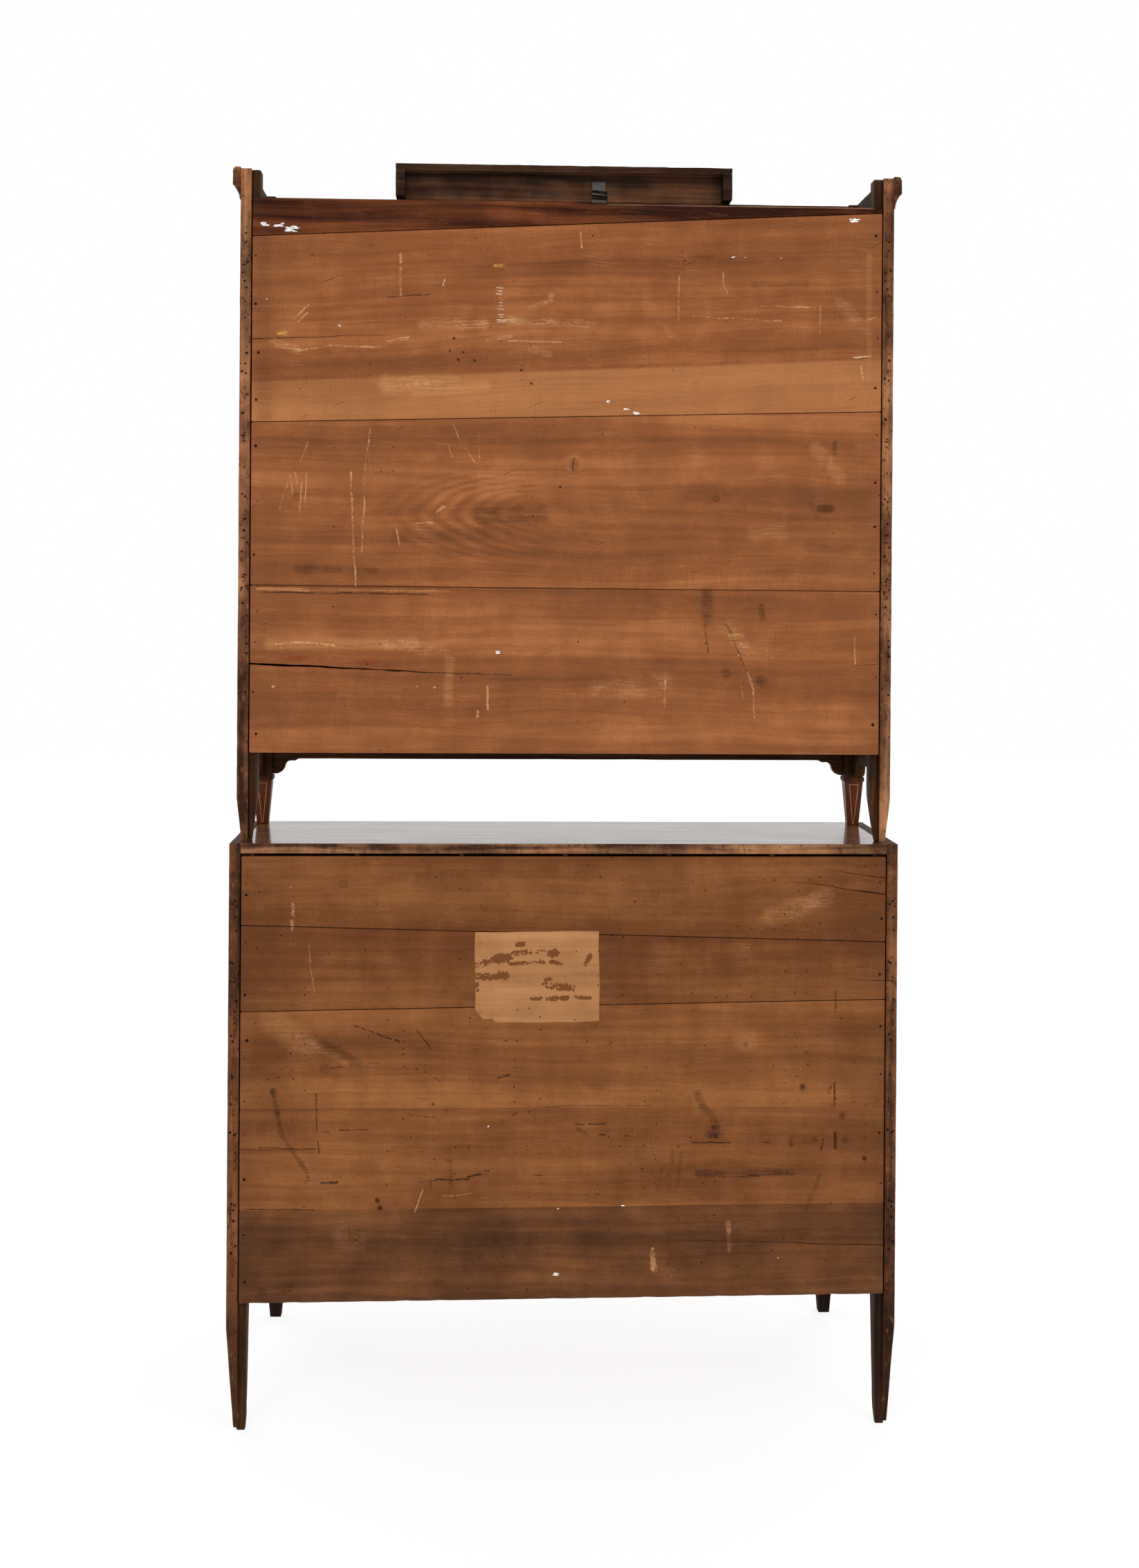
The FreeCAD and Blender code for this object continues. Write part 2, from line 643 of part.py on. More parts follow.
def long_drawer(half_opening, z_low, z_high):
    """Front, box and brass fittings of a long drawer."""
    half = half_opening - DRAWER_FIT
    low = z_low + DRAWER_FIT
    high = z_high - DRAWER_FIT
    face_rear = DESK_DEPTH - DRAWER_FRONT
    face = board(-half, half, face_rear, DESK_DEPTH, low, high)
    rear = BACK_BOARD + DRAWER_REAR_ROOM
    box = open_box(half, rear, face_rear, low, high - DRAWER_SIDE_DROP, DRAWER_SIDE, DRAWER_BOTTOM)
    middle = (low + high) / 2
    fittings = [pull_knob(spot(side * (half - KNOB_INSET), DESK_DEPTH, middle), KNOB_REACH, KNOB_ROSETTE)
                for side in (1, -1)]
    fittings.append(key_plate_on_front(0, DESK_DEPTH, middle + PLATE_RISE))
    return face, group(box), group(fittings)


def nest_span():
    """Half width inside the nest's end boards, and the outer half width."""
    outer = REAR_POST_INNER - NEST_END_GAP
    return outer - NEST_BOARD, outer


def even_bays(inner, count):
    """Left and right edge of each of several equal bays between the nest's end boards."""
    width = (2 * inner - (count - 1) * NEST_BOARD) / count
    return [(-inner + index * (width + NEST_BOARD), -inner + index * (width + NEST_BOARD) + width)
            for index in range(count)]


def nest_partitions():
    """End boards, drawer dividers, shelf, pigeonhole dividers and arched valances of the nest."""
    inner, outer = nest_span()
    shelf_low = WRITING_HEIGHT + NEST_DRAWER_OPENING
    shelf_high = shelf_low + NEST_SHELF
    pieces = pair(board(inner, outer, BACK_BOARD, NEST_DEPTH, WRITING_HEIGHT, TOP_UNDER))
    pieces.append(board(-inner, inner, BACK_BOARD, NEST_DEPTH, shelf_low, shelf_high))
    for left, right in even_bays(inner, NEST_DRAWERS)[:-1]:
        pieces.append(board(right, right + NEST_BOARD, BACK_BOARD, NEST_DEPTH, WRITING_HEIGHT, shelf_low))
    for left, right in even_bays(inner, NEST_HOLES)[:-1]:
        pieces.append(board(right, right + NEST_BOARD, BACK_BOARD, NEST_DEPTH, shelf_high, TOP_UNDER))
    for left, right in even_bays(inner, NEST_HOLES):
        pieces.append(valance(left, right))
    return group(pieces)


def valance(left, right):
    """Arched board across the head of one pigeonhole."""
    low = TOP_UNDER - VALANCE_HEIGHT
    front = NEST_DEPTH - VALANCE_THICK
    sheet = Outline(lambda x, z: spot(x, front, z), left, TOP_UNDER)
    sheet.line(left, low)
    sheet.line(left + VALANCE_FOOT, low)
    sheet.arc(((left + right) / 2, low + VALANCE_RISE), (right - VALANCE_FOOT, low))
    sheet.line(right, low)
    sheet.line(right, TOP_UNDER)
    return sheet.sweep(Vector(0, VALANCE_THICK, 0))


def nest_drawer(left, right):
    """Small drawer with a turned knob."""
    x_mid = (left + right) / 2
    half = (right - left) / 2 - NEST_FIT
    low = WRITING_HEIGHT + NEST_FIT / 2
    high = WRITING_HEIGHT + NEST_DRAWER_OPENING - NEST_FIT
    rear = BACK_BOARD + NEST_REAR_ROOM
    face_rear = NEST_DEPTH - NEST_FRONT
    pieces = [board(-half, half, face_rear, NEST_DEPTH, low, high)]
    pieces += open_box(half, rear, face_rear, low, high - NEST_SIDE, NEST_SIDE, NEST_BOTTOM)
    pieces.append(pull_knob(spot(0, NEST_DEPTH, (low + high) / 2), NEST_KNOB_REACH, 0.5 * NEST_KNOB_REACH))
    drawer = group(pieces)
    drawer.translate(Vector(x_mid, 0, 0))
    return drawer


def cabinet_side():
    """Right side board of the cabinet: shaped lower edge and the outer half of the rear foot."""
    leg_front = CABINET_REAR_FRONT
    outline = Outline(lambda depth, z: spot(CABINET_INNER, depth, z), CABINET_SETBACK, DESK_HEIGHT)
    outline.line(CABINET_SETBACK + CABINET_REAR_FOOT_DEPTH, DESK_HEIGHT)
    outline.line(leg_front, DESK_HEIGHT + CABINET_TAPER_HEIGHT)
    outline.line(leg_front, BRACKET_LOW)
    bracket_out(outline, leg_front, 1)
    bracket_in(outline, CABINET_POST_REAR, -1)
    outline.line(CABINET_POST_REAR, CABINET_TOP)
    outline.line(CABINET_SETBACK, CABINET_TOP)
    side = outline.sweep(Vector(SIDE_BOARD, 0, 0))
    waste = [
        (CABINET_HALF, DESK_HEIGHT + CABINET_TAPER_HEIGHT),
        (CABINET_HALF - CABINET_OUTER_TAPER, DESK_HEIGHT), (CABINET_HALF, DESK_HEIGHT),
    ]
    return side.cut(prism_forward(waste, CABINET_SETBACK, leg_front))


def cabinet_rear_post():
    """Right rear post of the cabinet with the inner half of the rear foot."""
    profile = [
        (CABINET_BACK_IN, DESK_HEIGHT), (CABINET_SETBACK + CABINET_REAR_FOOT_DEPTH, DESK_HEIGHT),
        (CABINET_REAR_FRONT, DESK_HEIGHT + CABINET_TAPER_HEIGHT),
        (CABINET_REAR_FRONT, CABINET_TOP), (CABINET_BACK_IN, CABINET_TOP),
    ]
    post = prism_across(profile, CABINET_REAR_INNER, CABINET_INNER)
    waste = [
        (CABINET_REAR_INNER, DESK_HEIGHT + CABINET_TAPER_HEIGHT), (CABINET_REAR_INNER, DESK_HEIGHT),
        (CABINET_REAR_INNER + CABINET_INNER_TAPER, DESK_HEIGHT),
    ]
    return post.cut(prism_forward(waste, CABINET_BACK_IN, CABINET_REAR_FRONT))


def cabinet_front_post():
    """Right front post of the cabinet with its collar and tapered foot."""
    x_mid = CABINET_HALF - CABINET_POST / 2
    depth_mid = CABINET_FRONT - CABINET_POST / 2
    foot_top = DESK_HEIGHT + CABINET_FOOT_HEIGHT
    collar_top = foot_top + CABINET_COLLAR_HEIGHT
    foot = square_taper(x_mid, depth_mid, CABINET_FOOT, CABINET_POST, DESK_HEIGHT, foot_top)
    collar = square_block(x_mid, depth_mid, CABINET_COLLAR, foot_top, collar_top)
    post = square_block(x_mid, depth_mid, CABINET_POST, collar_top, CABINET_TOP)
    return foot.fuse([collar, post]).removeSplitter()


def cabinet_level_board(z_low, z_high):
    """Floor or roof of the cabinet, notched round all four posts."""
    front = FRIEZE_REAR
    half = [
        (CABINET_REAR_INNER, CABINET_BACK_IN), (CABINET_REAR_INNER, CABINET_REAR_FRONT),
        (CABINET_INNER, CABINET_REAR_FRONT), (CABINET_INNER, CABINET_POST_REAR),
        (CABINET_POST_INNER, CABINET_POST_REAR), (CABINET_POST_INNER, front),
    ]
    plan = half + [(-x, depth) for x, depth in reversed(half)]
    return prism_up(plan, z_low, z_high)


def shelf_heights():
    """Lower face of each shelf, evenly spaced."""
    room = CABINET_CEILING - CABINET_FLOOR - SHELVES * CASE_BOARD
    bay = room / (SHELVES + 1)
    return [CABINET_FLOOR + (index + 1) * bay + index * CASE_BOARD for index in range(SHELVES)]


def cabinet_shelves():
    """Shelves between the posts, on cleats fixed to the sides."""
    pieces = []
    front = FRIEZE_REAR - SHELF_FRONT_ROOM
    half = CABINET_POST_INNER
    bearing = half - SHELF_BEARING
    cleat_front = CABINET_POST_REAR
    for z_low in shelf_heights():
        pieces.append(board(-half, half, CABINET_BACK_IN, front, z_low, z_low + CASE_BOARD))
        cleat = board(bearing, CABINET_INNER, CABINET_REAR_FRONT, cleat_front, z_low - SHELF_CLEAT, z_low)
        pieces += pair(cleat)
    return group(pieces)


def front_apron():
    """Board under the doors with an ogee bracket at each post."""
    half = CABINET_POST_INNER
    top = CABINET_FLOOR
    outline = Outline(lambda x, z: spot(x, FRIEZE_REAR + APRON_THICK, z), -half, BRACKET_LOW)
    bracket_out(outline, -half, 1)
    bracket_in(outline, half, -1)
    outline.line(half, top)
    outline.line(-half, top)
    return outline.sweep(Vector(0, APRON_THICK, 0))


def cornice_profile(foot):
    """Reach and height along the cornice's worn moulding, from its back to its nose."""
    high = CORNICE_HEIGHT
    reach = CORNICE_REACH
    return [
        (0.0, foot), (0.12 * reach, foot), (0.16 * reach, foot + 0.1 * high), (0.34 * reach, foot + 0.24 * high),
        (0.62 * reach, foot + 0.36 * high), (0.74 * reach, foot + 0.42 * high), (reach, foot + 0.45 * high),
        (reach, foot + 0.88 * high), (0.86 * reach, foot + 0.96 * high), (0.62 * reach, foot + high),
        (0.0, foot + high),
    ]


def mitre_waste(x_sign, keep_front):
    """Block that trims a front or side moulding on the diagonal at a front corner."""
    span = 4 * CORNICE_REACH
    corner = (x_sign * CABINET_HALF, CABINET_FRONT)
    ahead = (x_sign * (CABINET_HALF + span), CABINET_FRONT + span)
    behind = (x_sign * (CABINET_HALF - span), CABINET_FRONT - span)
    if keep_front:
        third = (x_sign * (CABINET_HALF + span), CABINET_FRONT - span)
    else:
        third = (x_sign * (CABINET_HALF - span), CABINET_FRONT + span)
    plan = [behind, corner, ahead, third]
    return prism_up(plan, CABINET_BACK_TOP - span, CABINET_TOP + span)


def cornice():
    """Front moulding and the two side mouldings, mitred at the front corners."""
    foot = CABINET_TOP + CORNICE_PROUD - CORNICE_HEIGHT
    reach_half = CABINET_HALF + CORNICE_REACH
    rows = cornice_profile(foot)
    front_profile = [(CABINET_FRONT + out, z) for out, z in rows]
    front = prism_across(front_profile, -reach_half, reach_half)
    for sign in (1, -1):
        front = front.cut(mitre_waste(sign, True))
    side_profile = [(CABINET_HALF + out, z) for out, z in rows]
    side = prism_forward(side_profile, CABINET_SETBACK, CABINET_FRONT + CORNICE_REACH)
    side = side.cut(mitre_waste(1, False))
    return group([front] + pair(side))


def raised_block():
    """Raised block over the front: panel, two returns and a cap, open at the back."""
    half = BLOCK_WIDTH / 2
    low = CABINET_TOP
    cap_low = low + BLOCK_HEIGHT - BLOCK_CAP
    panel_front = FRIEZE_REAR + BLOCK_PANEL
    panel = board(-half, half, FRIEZE_REAR, panel_front, low, cap_low)
    side = board(half - BLOCK_RETURN, half, FRIEZE_REAR - BLOCK_RETURN_DEPTH, FRIEZE_REAR, low, cap_low)
    cap = board(-half, half, FRIEZE_REAR - BLOCK_RETURN_DEPTH, panel_front + BLOCK_CAP_REACH,
                cap_low, cap_low + BLOCK_CAP)
    return group([panel, cap] + pair(side))


def block_strap():
    """Iron angle that holds the raised block to the cabinet's roof."""
    left = STRAP_PLACE - STRAP_WIDTH / 2
    right = STRAP_PLACE + STRAP_WIDTH / 2
    roof = CABINET_BACK_TOP
    upright = board(left, right, FRIEZE_REAR - STRAP_THICK, FRIEZE_REAR, roof, roof + STRAP_RISE)
    foot = board(left, right, FRIEZE_REAR - STRAP_FOOT, FRIEZE_REAR - STRAP_THICK, roof, roof + STRAP_THICK)
    return upright.fuse(foot).removeSplitter()


def door_axis():
    """X and depth of the right door's pin line."""
    return CABINET_POST_INNER - DOOR_HINGE_GAP / 2, CABINET_FRONT + HINGE_BARREL + 0.6 * HINGE_ROOM


def door_span():
    """Lower and upper edge of the doors."""
    return CABINET_FLOOR + DOOR_EDGE_GAP, FRIEZE_LOW - DOOR_EDGE_GAP


def door_hinge_heights():
    """Middle of each hinge on a door."""
    low, high = door_span()
    return [low + DOOR_HINGE_INSET, high - DOOR_HINGE_INSET]


def door_hinge_half(z_mid, spans, x_low, with_pin):
    """Half of a door hinge: plate beside the gap, tongues and knuckles on the pin line."""
    x_pin, depth_pin = door_axis()
    half = HINGE_LENGTH / 2
    rear = CABINET_FRONT - DOOR_THICK + DOOR_LEAF_INSET
    x_high = x_low + HINGE_LEAF
    solid = board(x_low, x_high, rear, CABINET_FRONT, z_mid - half, z_mid + half)
    pieces = []
    for low, high in spans:
        foot = spot(x_pin, depth_pin, z_mid + low)
        pieces.append(Part.makeCylinder(HINGE_BARREL, high - low, foot))
        pieces.append(board(x_low, x_high, CABINET_FRONT, depth_pin - 1.2 * HINGE_PIN, z_mid + low, z_mid + high))
    foot = spot(x_pin, depth_pin, z_mid - half)
    if with_pin:
        pieces.append(Part.makeCylinder(HINGE_PIN, HINGE_LENGTH, foot))
        return solid.fuse(pieces).removeSplitter()
    bore = Part.makeCylinder(HINGE_PIN + HINGE_RUNNING, HINGE_LENGTH, foot)
    return solid.fuse(pieces).cut(bore).removeSplitter()


def door_hinges_fixed():
    """Hinge halves on the right front post."""
    fixed, moving = knuckle_spans()
    x_low = CABINET_POST_INNER - HINGE_LEAF
    return [door_hinge_half(z_mid, fixed, x_low, True) for z_mid in door_hinge_heights()]


def door_parts():
    """Frame, panel and fittings of the right door, without its key plate."""
    low, high = door_span()
    outer = CABINET_POST_INNER - DOOR_HINGE_GAP
    inner = DOOR_MEETING_GAP / 2
    rear = CABINET_FRONT - DOOR_THICK
    panel_rear = rear + (DOOR_THICK - DOOR_PANEL) / 2
    panel = board(inner + DOOR_STILE - DOOR_TONGUE, outer - DOOR_STILE + DOOR_TONGUE, panel_rear,
                  panel_rear + DOOR_PANEL, low + DOOR_RAIL - DOOR_TONGUE, high - DOOR_RAIL + DOOR_TONGUE)
    members = [
        board(inner, inner + DOOR_STILE, rear, CABINET_FRONT, low, high),
        board(outer - DOOR_STILE, outer, rear, CABINET_FRONT, low, high),
        board(inner + DOOR_STILE, outer - DOOR_STILE, rear, CABINET_FRONT, low, low + DOOR_RAIL),
        board(inner + DOOR_STILE, outer - DOOR_STILE, rear, CABINET_FRONT, high - DOOR_RAIL, high),
    ]
    frame = group([member.cut(panel) for member in members])
    fixed, moving = knuckle_spans()
    leaves = [door_hinge_half(z_mid, [moving], outer, False) for z_mid in door_hinge_heights()]
    knob_foot = spot(inner + DOOR_STILE / 2, CABINET_FRONT, low + DOOR_KNOB_HEIGHT)
    knob = pull_knob(knob_foot, DOOR_KNOB_REACH, 0.5 * DOOR_KNOB_REACH)
    return frame, panel, leaves + [knob]


def all_parts():
    """Every node of the desk by name."""
    parts = {}
    side = desk_side()
    parts["desk_side_right"] = side
    parts["desk_side_left"] = mirrored(side)
    parts["desk_top_board"] = desk_top_board()
    parts["desk_bottom_board"] = desk_level_board(POST_REAR, CASE_CLEARANCE, CASE_FLOOR)
    desk_boards = slanted_boards(DESK_INNER - BACK_END_GAP, 0.0, BACK_BOARD, CASE_CLEARANCE,
                                 TOP_UNDER - BACK_TOP_GAP, DESK_SEAM_HEIGHTS, DESK_FOOT_HEIGHTS)
    for number, back in enumerate(desk_boards, start=1):
        parts["desk_back_board_%d" % number] = back
    parts["desk_rear_posts"] = group(pair(desk_rear_post()))
    leg = desk_front_leg()
    parts["desk_front_leg_right"] = leg
    parts["desk_front_leg_left"] = mirrored(leg)
    parts["drawer_rails"] = drawer_rails()
    parts["drawer_runners"] = drawer_runners()
    parts["writing_bed"] = writing_bed()
    parts["lid_stop_rail"] = lid_stop_rail()
    parts["lid_hinges_fixed"] = group([lid_hinge_fixed(x_mid) for x_mid in lid_hinge_places()])
    parts["nest_partitions"] = nest_partitions()
    parts.update(lid_parts())
    support = loper()
    parts["loper_right"] = support
    parts["loper_left"] = mirrored(support)
    tiers = {
        "top": (DIVIDER_INNER, TOP_TIER, BED_UNDER - LOPER_LID_GAP),
        "middle": (POST_INNER, LOW_RAIL + CASE_BOARD, HIGH_RAIL),
        "bottom": (POST_INNER, CASE_FLOOR, LOW_RAIL),
    }
    for tier, (half, z_low, z_high) in tiers.items():
        face, box, fittings = long_drawer(half, z_low, z_high)
        parts["drawer_%s_front" % tier] = face
        parts["drawer_%s_box" % tier] = box
        parts["drawer_%s_fittings" % tier] = fittings
    for number, (left, right) in enumerate(even_bays(nest_span()[0], NEST_DRAWERS), start=1):
        parts["nest_drawer_%d" % number] = nest_drawer(left, right)
    upright = cabinet_side()
    parts["cabinet_side_right"] = upright
    parts["cabinet_side_left"] = mirrored(upright)
    cabinet_boards = slanted_boards(CABINET_INNER - BACK_END_GAP, CABINET_SETBACK, CABINET_BACK_IN,
                                    CABINET_BACK_LOW, CABINET_BACK_TOP, CABINET_SEAM_HEIGHTS)
    for number, back in enumerate(cabinet_boards, start=1):
        parts["cabinet_back_board_%d" % number] = back
    parts["cabinet_rear_posts"] = group(pair(cabinet_rear_post()))
    front_post = cabinet_front_post()
    parts["cabinet_front_post_right"] = front_post
    parts["cabinet_front_post_left"] = mirrored(front_post)
    parts["cabinet_bottom_board"] = cabinet_level_board(CABINET_BACK_LOW, CABINET_FLOOR)
    parts["cabinet_roof_board"] = cabinet_level_board(CABINET_CEILING, CABINET_BACK_TOP)
    parts["cabinet_shelves"] = cabinet_shelves()
    parts["cabinet_front_apron"] = front_apron()
    parts["frieze_board"] = board(-CABINET_POST_INNER, CABINET_POST_INNER, FRIEZE_REAR, CABINET_FRONT,
                                  FRIEZE_LOW, CABINET_TOP)
    parts["cornice"] = cornice()
    parts["raised_block"] = raised_block()
    parts["raised_block_strap"] = block_strap()
    hinges = door_hinges_fixed()
    parts["door_hinges_fixed"] = group(hinges + [mirrored(hinge) for hinge in hinges])
    door_frame, door_panel, door_fittings = door_parts()
    door_low, door_high = door_span()
    lock_plate = key_plate_on_front((DOOR_MEETING_GAP + DOOR_STILE) / 2, CABINET_FRONT,
                                    door_low + DOOR_PLATE_HEIGHT)
    parts["door_right_frame"] = door_frame
    parts["door_right_panel"] = door_panel
    parts["door_right_fittings"] = group(door_fittings + [lock_plate])
    parts["door_left_frame"] = mirrored(door_frame)
    parts["door_left_panel"] = mirrored(door_panel)
    parts["door_left_fittings"] = group([mirrored(piece) for piece in door_fittings])
    return parts


os.makedirs("parts", exist_ok=True)
for name, shape in all_parts().items():
    shape.exportStep("parts/%s.step" % name)
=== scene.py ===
"""Slant-front desk with an upper cabinet, seen from behind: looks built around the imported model."""

import json
import logging
import math
import random
from dataclasses import dataclass, field, replace
from enum import Enum
from functools import cache
from typing import Any, Callable, Sequence

import bmesh
import bpy
from mathutils import Matrix, Vector, geometry, noise

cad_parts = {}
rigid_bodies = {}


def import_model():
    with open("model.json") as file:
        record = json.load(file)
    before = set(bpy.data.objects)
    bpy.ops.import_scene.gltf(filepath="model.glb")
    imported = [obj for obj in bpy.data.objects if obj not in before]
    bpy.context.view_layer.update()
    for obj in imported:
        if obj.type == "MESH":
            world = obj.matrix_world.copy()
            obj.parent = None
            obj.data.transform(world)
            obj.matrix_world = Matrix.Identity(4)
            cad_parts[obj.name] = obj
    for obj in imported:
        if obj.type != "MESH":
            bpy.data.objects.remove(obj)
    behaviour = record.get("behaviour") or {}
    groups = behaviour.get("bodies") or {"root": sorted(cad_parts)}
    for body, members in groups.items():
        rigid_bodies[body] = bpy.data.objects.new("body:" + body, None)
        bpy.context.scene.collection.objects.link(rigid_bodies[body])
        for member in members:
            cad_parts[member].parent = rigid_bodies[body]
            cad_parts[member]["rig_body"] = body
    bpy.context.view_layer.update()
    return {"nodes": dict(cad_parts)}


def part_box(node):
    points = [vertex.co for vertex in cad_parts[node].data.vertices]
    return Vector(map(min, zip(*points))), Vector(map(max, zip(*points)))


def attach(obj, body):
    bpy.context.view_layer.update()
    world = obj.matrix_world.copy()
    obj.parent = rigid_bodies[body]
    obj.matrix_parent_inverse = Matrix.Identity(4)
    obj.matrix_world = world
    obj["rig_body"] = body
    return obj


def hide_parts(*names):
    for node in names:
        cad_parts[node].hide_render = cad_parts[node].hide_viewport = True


LOG = logging.getLogger("desk")
EDGE_SEED = 11
CASE = "case"
Colour = tuple[float, float, float, float]
Pixel = tuple[float, float]
Shade = tuple[int, int, int]
Ends = dict[int, tuple[float, float]]
Chooser = Callable[[int, Vector, Vector], int]
BMesh = bmesh.types.BMesh
NodeSocket = bpy.types.NodeSocket

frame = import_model()


def linear(shade: Shade) -> Colour:
    """Linear colour of an 8-bit display colour.

    Args:
        shade: red, green and blue from 0 to 255.

    Returns:
        The colour as four numbers from 0 to 1.
    """
    shares = [value / 255 for value in shade]
    plain = [s / 12.92 if s <= 0.04045 else ((s + 0.055) / 1.055) ** 2.4 for s in shares]
    return (plain[0], plain[1], plain[2], 1.0)


class Axis(Enum):
    """Direction of the wood's fibres."""

    X = "x"
    Y = "y"
    Z = "z"


class Tone(Enum):
    """Display colour of a mark left on a board."""

    DARK = (34, 20, 12)
    BROWN = (54, 31, 18)
    RED = (118, 52, 28)
    TAN = (190, 134, 86)
    PALE = (214, 160, 112)
    GREY = (226, 210, 190)
    SCUFF = (204, 152, 108)
    YELLOW = (222, 182, 84)
    BOARD = (112, 68, 38)


SCRATCHED = (Tone.PALE, Tone.GREY)
SOFT = (Tone.TAN, Tone.BROWN)
SMEARED = (Tone.SCUFF, Tone.YELLOW)
CHIP_PALE: Shade = (170, 116, 70)
CHIP_DARK: Shade = (26, 16, 10)
WORM_HOLE: Shade = (18, 11, 8)
WORM_SPACING = 0.021
FACING = 0.6
INWARD = -0.2
GROWN_SMOOTH_DEG = 40
HEAD_SIDES = 9
HEAD_SEED = 7
LINE_SIDES = 8


@dataclass(frozen=True)
class PhotoCamera:
    """Camera that stands where the photograph was taken."""

    focal_px: float = 2952.6
    axis_px: Pixel = (823.5, 850.0)
    frame_px: tuple[int, int] = (1647, 2268)
    place: tuple[float, float, float] = (0.1548, 3.973, 1.5102)
    yaw_deg: float = 2.474
    pitch_deg: float = 0.09
    roll_deg: float = 0.400
    sensor_mm: float = 36.0

    def axes(self) -> tuple[Vector, Vector, Vector]:
        """Directions of the picture.

        Returns:
            Right, up and forward in the row frame.
        """
        yaw, pitch, roll = (math.radians(a) for a in (self.yaw_deg, self.pitch_deg, self.roll_deg))
        ahead = Vector((-math.sin(yaw), -math.cos(yaw), 0.0))
        level = Vector((-math.cos(yaw), math.sin(yaw), 0.0))
        plumb = Vector((0.0, 0.0, 1.0))
        forward = ahead * math.cos(pitch) - plumb * math.sin(pitch)
        up = plumb * math.cos(pitch) + ahead * math.sin(pitch)
        right = level * math.cos(roll) + up * math.sin(roll)
        return right, up * math.cos(roll) - level * math.sin(roll), forward

    def on_plane(self, pixel: Pixel, depth: float) -> tuple[float, float]:
        """Point of an upright plane that a pixel of the photograph shows.

        Args:
            pixel: column and row in the photograph.
            depth: Y of the plane in metres.

        Returns:
            X and Z in metres.
        """
        right, up, forward = self.axes()
        across = (pixel[0] - self.axis_px[0]) / self.focal_px
        rise = (self.axis_px[1] - pixel[1]) / self.focal_px
        ray = right * across + up * rise + forward
        point = Vector(self.place) + ray * ((depth - self.place[1]) / ray.y)
        return point.x, point.z

    def pixel_size(self, depth: float) -> float:
        """Width in metres of one pixel on an upright plane."""
        return (self.place[1] - depth) / self.focal_px

    def build(self) -> None:
        """Make the camera and give it to the scene."""
        data = bpy.data.cameras.new("photo_camera")
        data.sensor_width = self.sensor_mm
        data.lens = self.focal_px * self.sensor_mm / max(self.frame_px)
        data.shift_y = (self.axis_px[1] - self.frame_px[1] / 2) / max(self.frame_px)
        right, up, forward = self.axes()
        turn = Matrix((right, up, -forward)).transposed().to_4x4()
        camera = bpy.data.objects.new("photo_camera", data)
        camera.matrix_world = Matrix.Translation(self.place) @ turn
        bpy.context.scene.collection.objects.link(camera)
        bpy.context.scene.camera = camera


CAMERA = PhotoCamera()


@dataclass(frozen=True)
class Mark:
    """Stain, scrape or scratch on a back, from one pixel of the photograph to another."""

    tone: Tone
    start: Pixel
    end: Pixel
    width: float
    strength: float


@dataclass(frozen=True)
class Knot:
    """Knot that the fibres run round, by its pixel in the photograph and its half sizes in pixels."""

    spot: Pixel
    reach: Pixel
    dark: float = 0.8
    heart: float = 0.25


@dataclass(frozen=True)
class Zone:
    """Paler wood below a glue line that runs from one pixel of the photograph to another."""

    start: Pixel
    end: Pixel
    colour: Shade
    share: float


@dataclass(frozen=True)
class Crack:
    """Crack that runs in from one end of a board."""

    start: Pixel
    end: Pixel
    opening: float


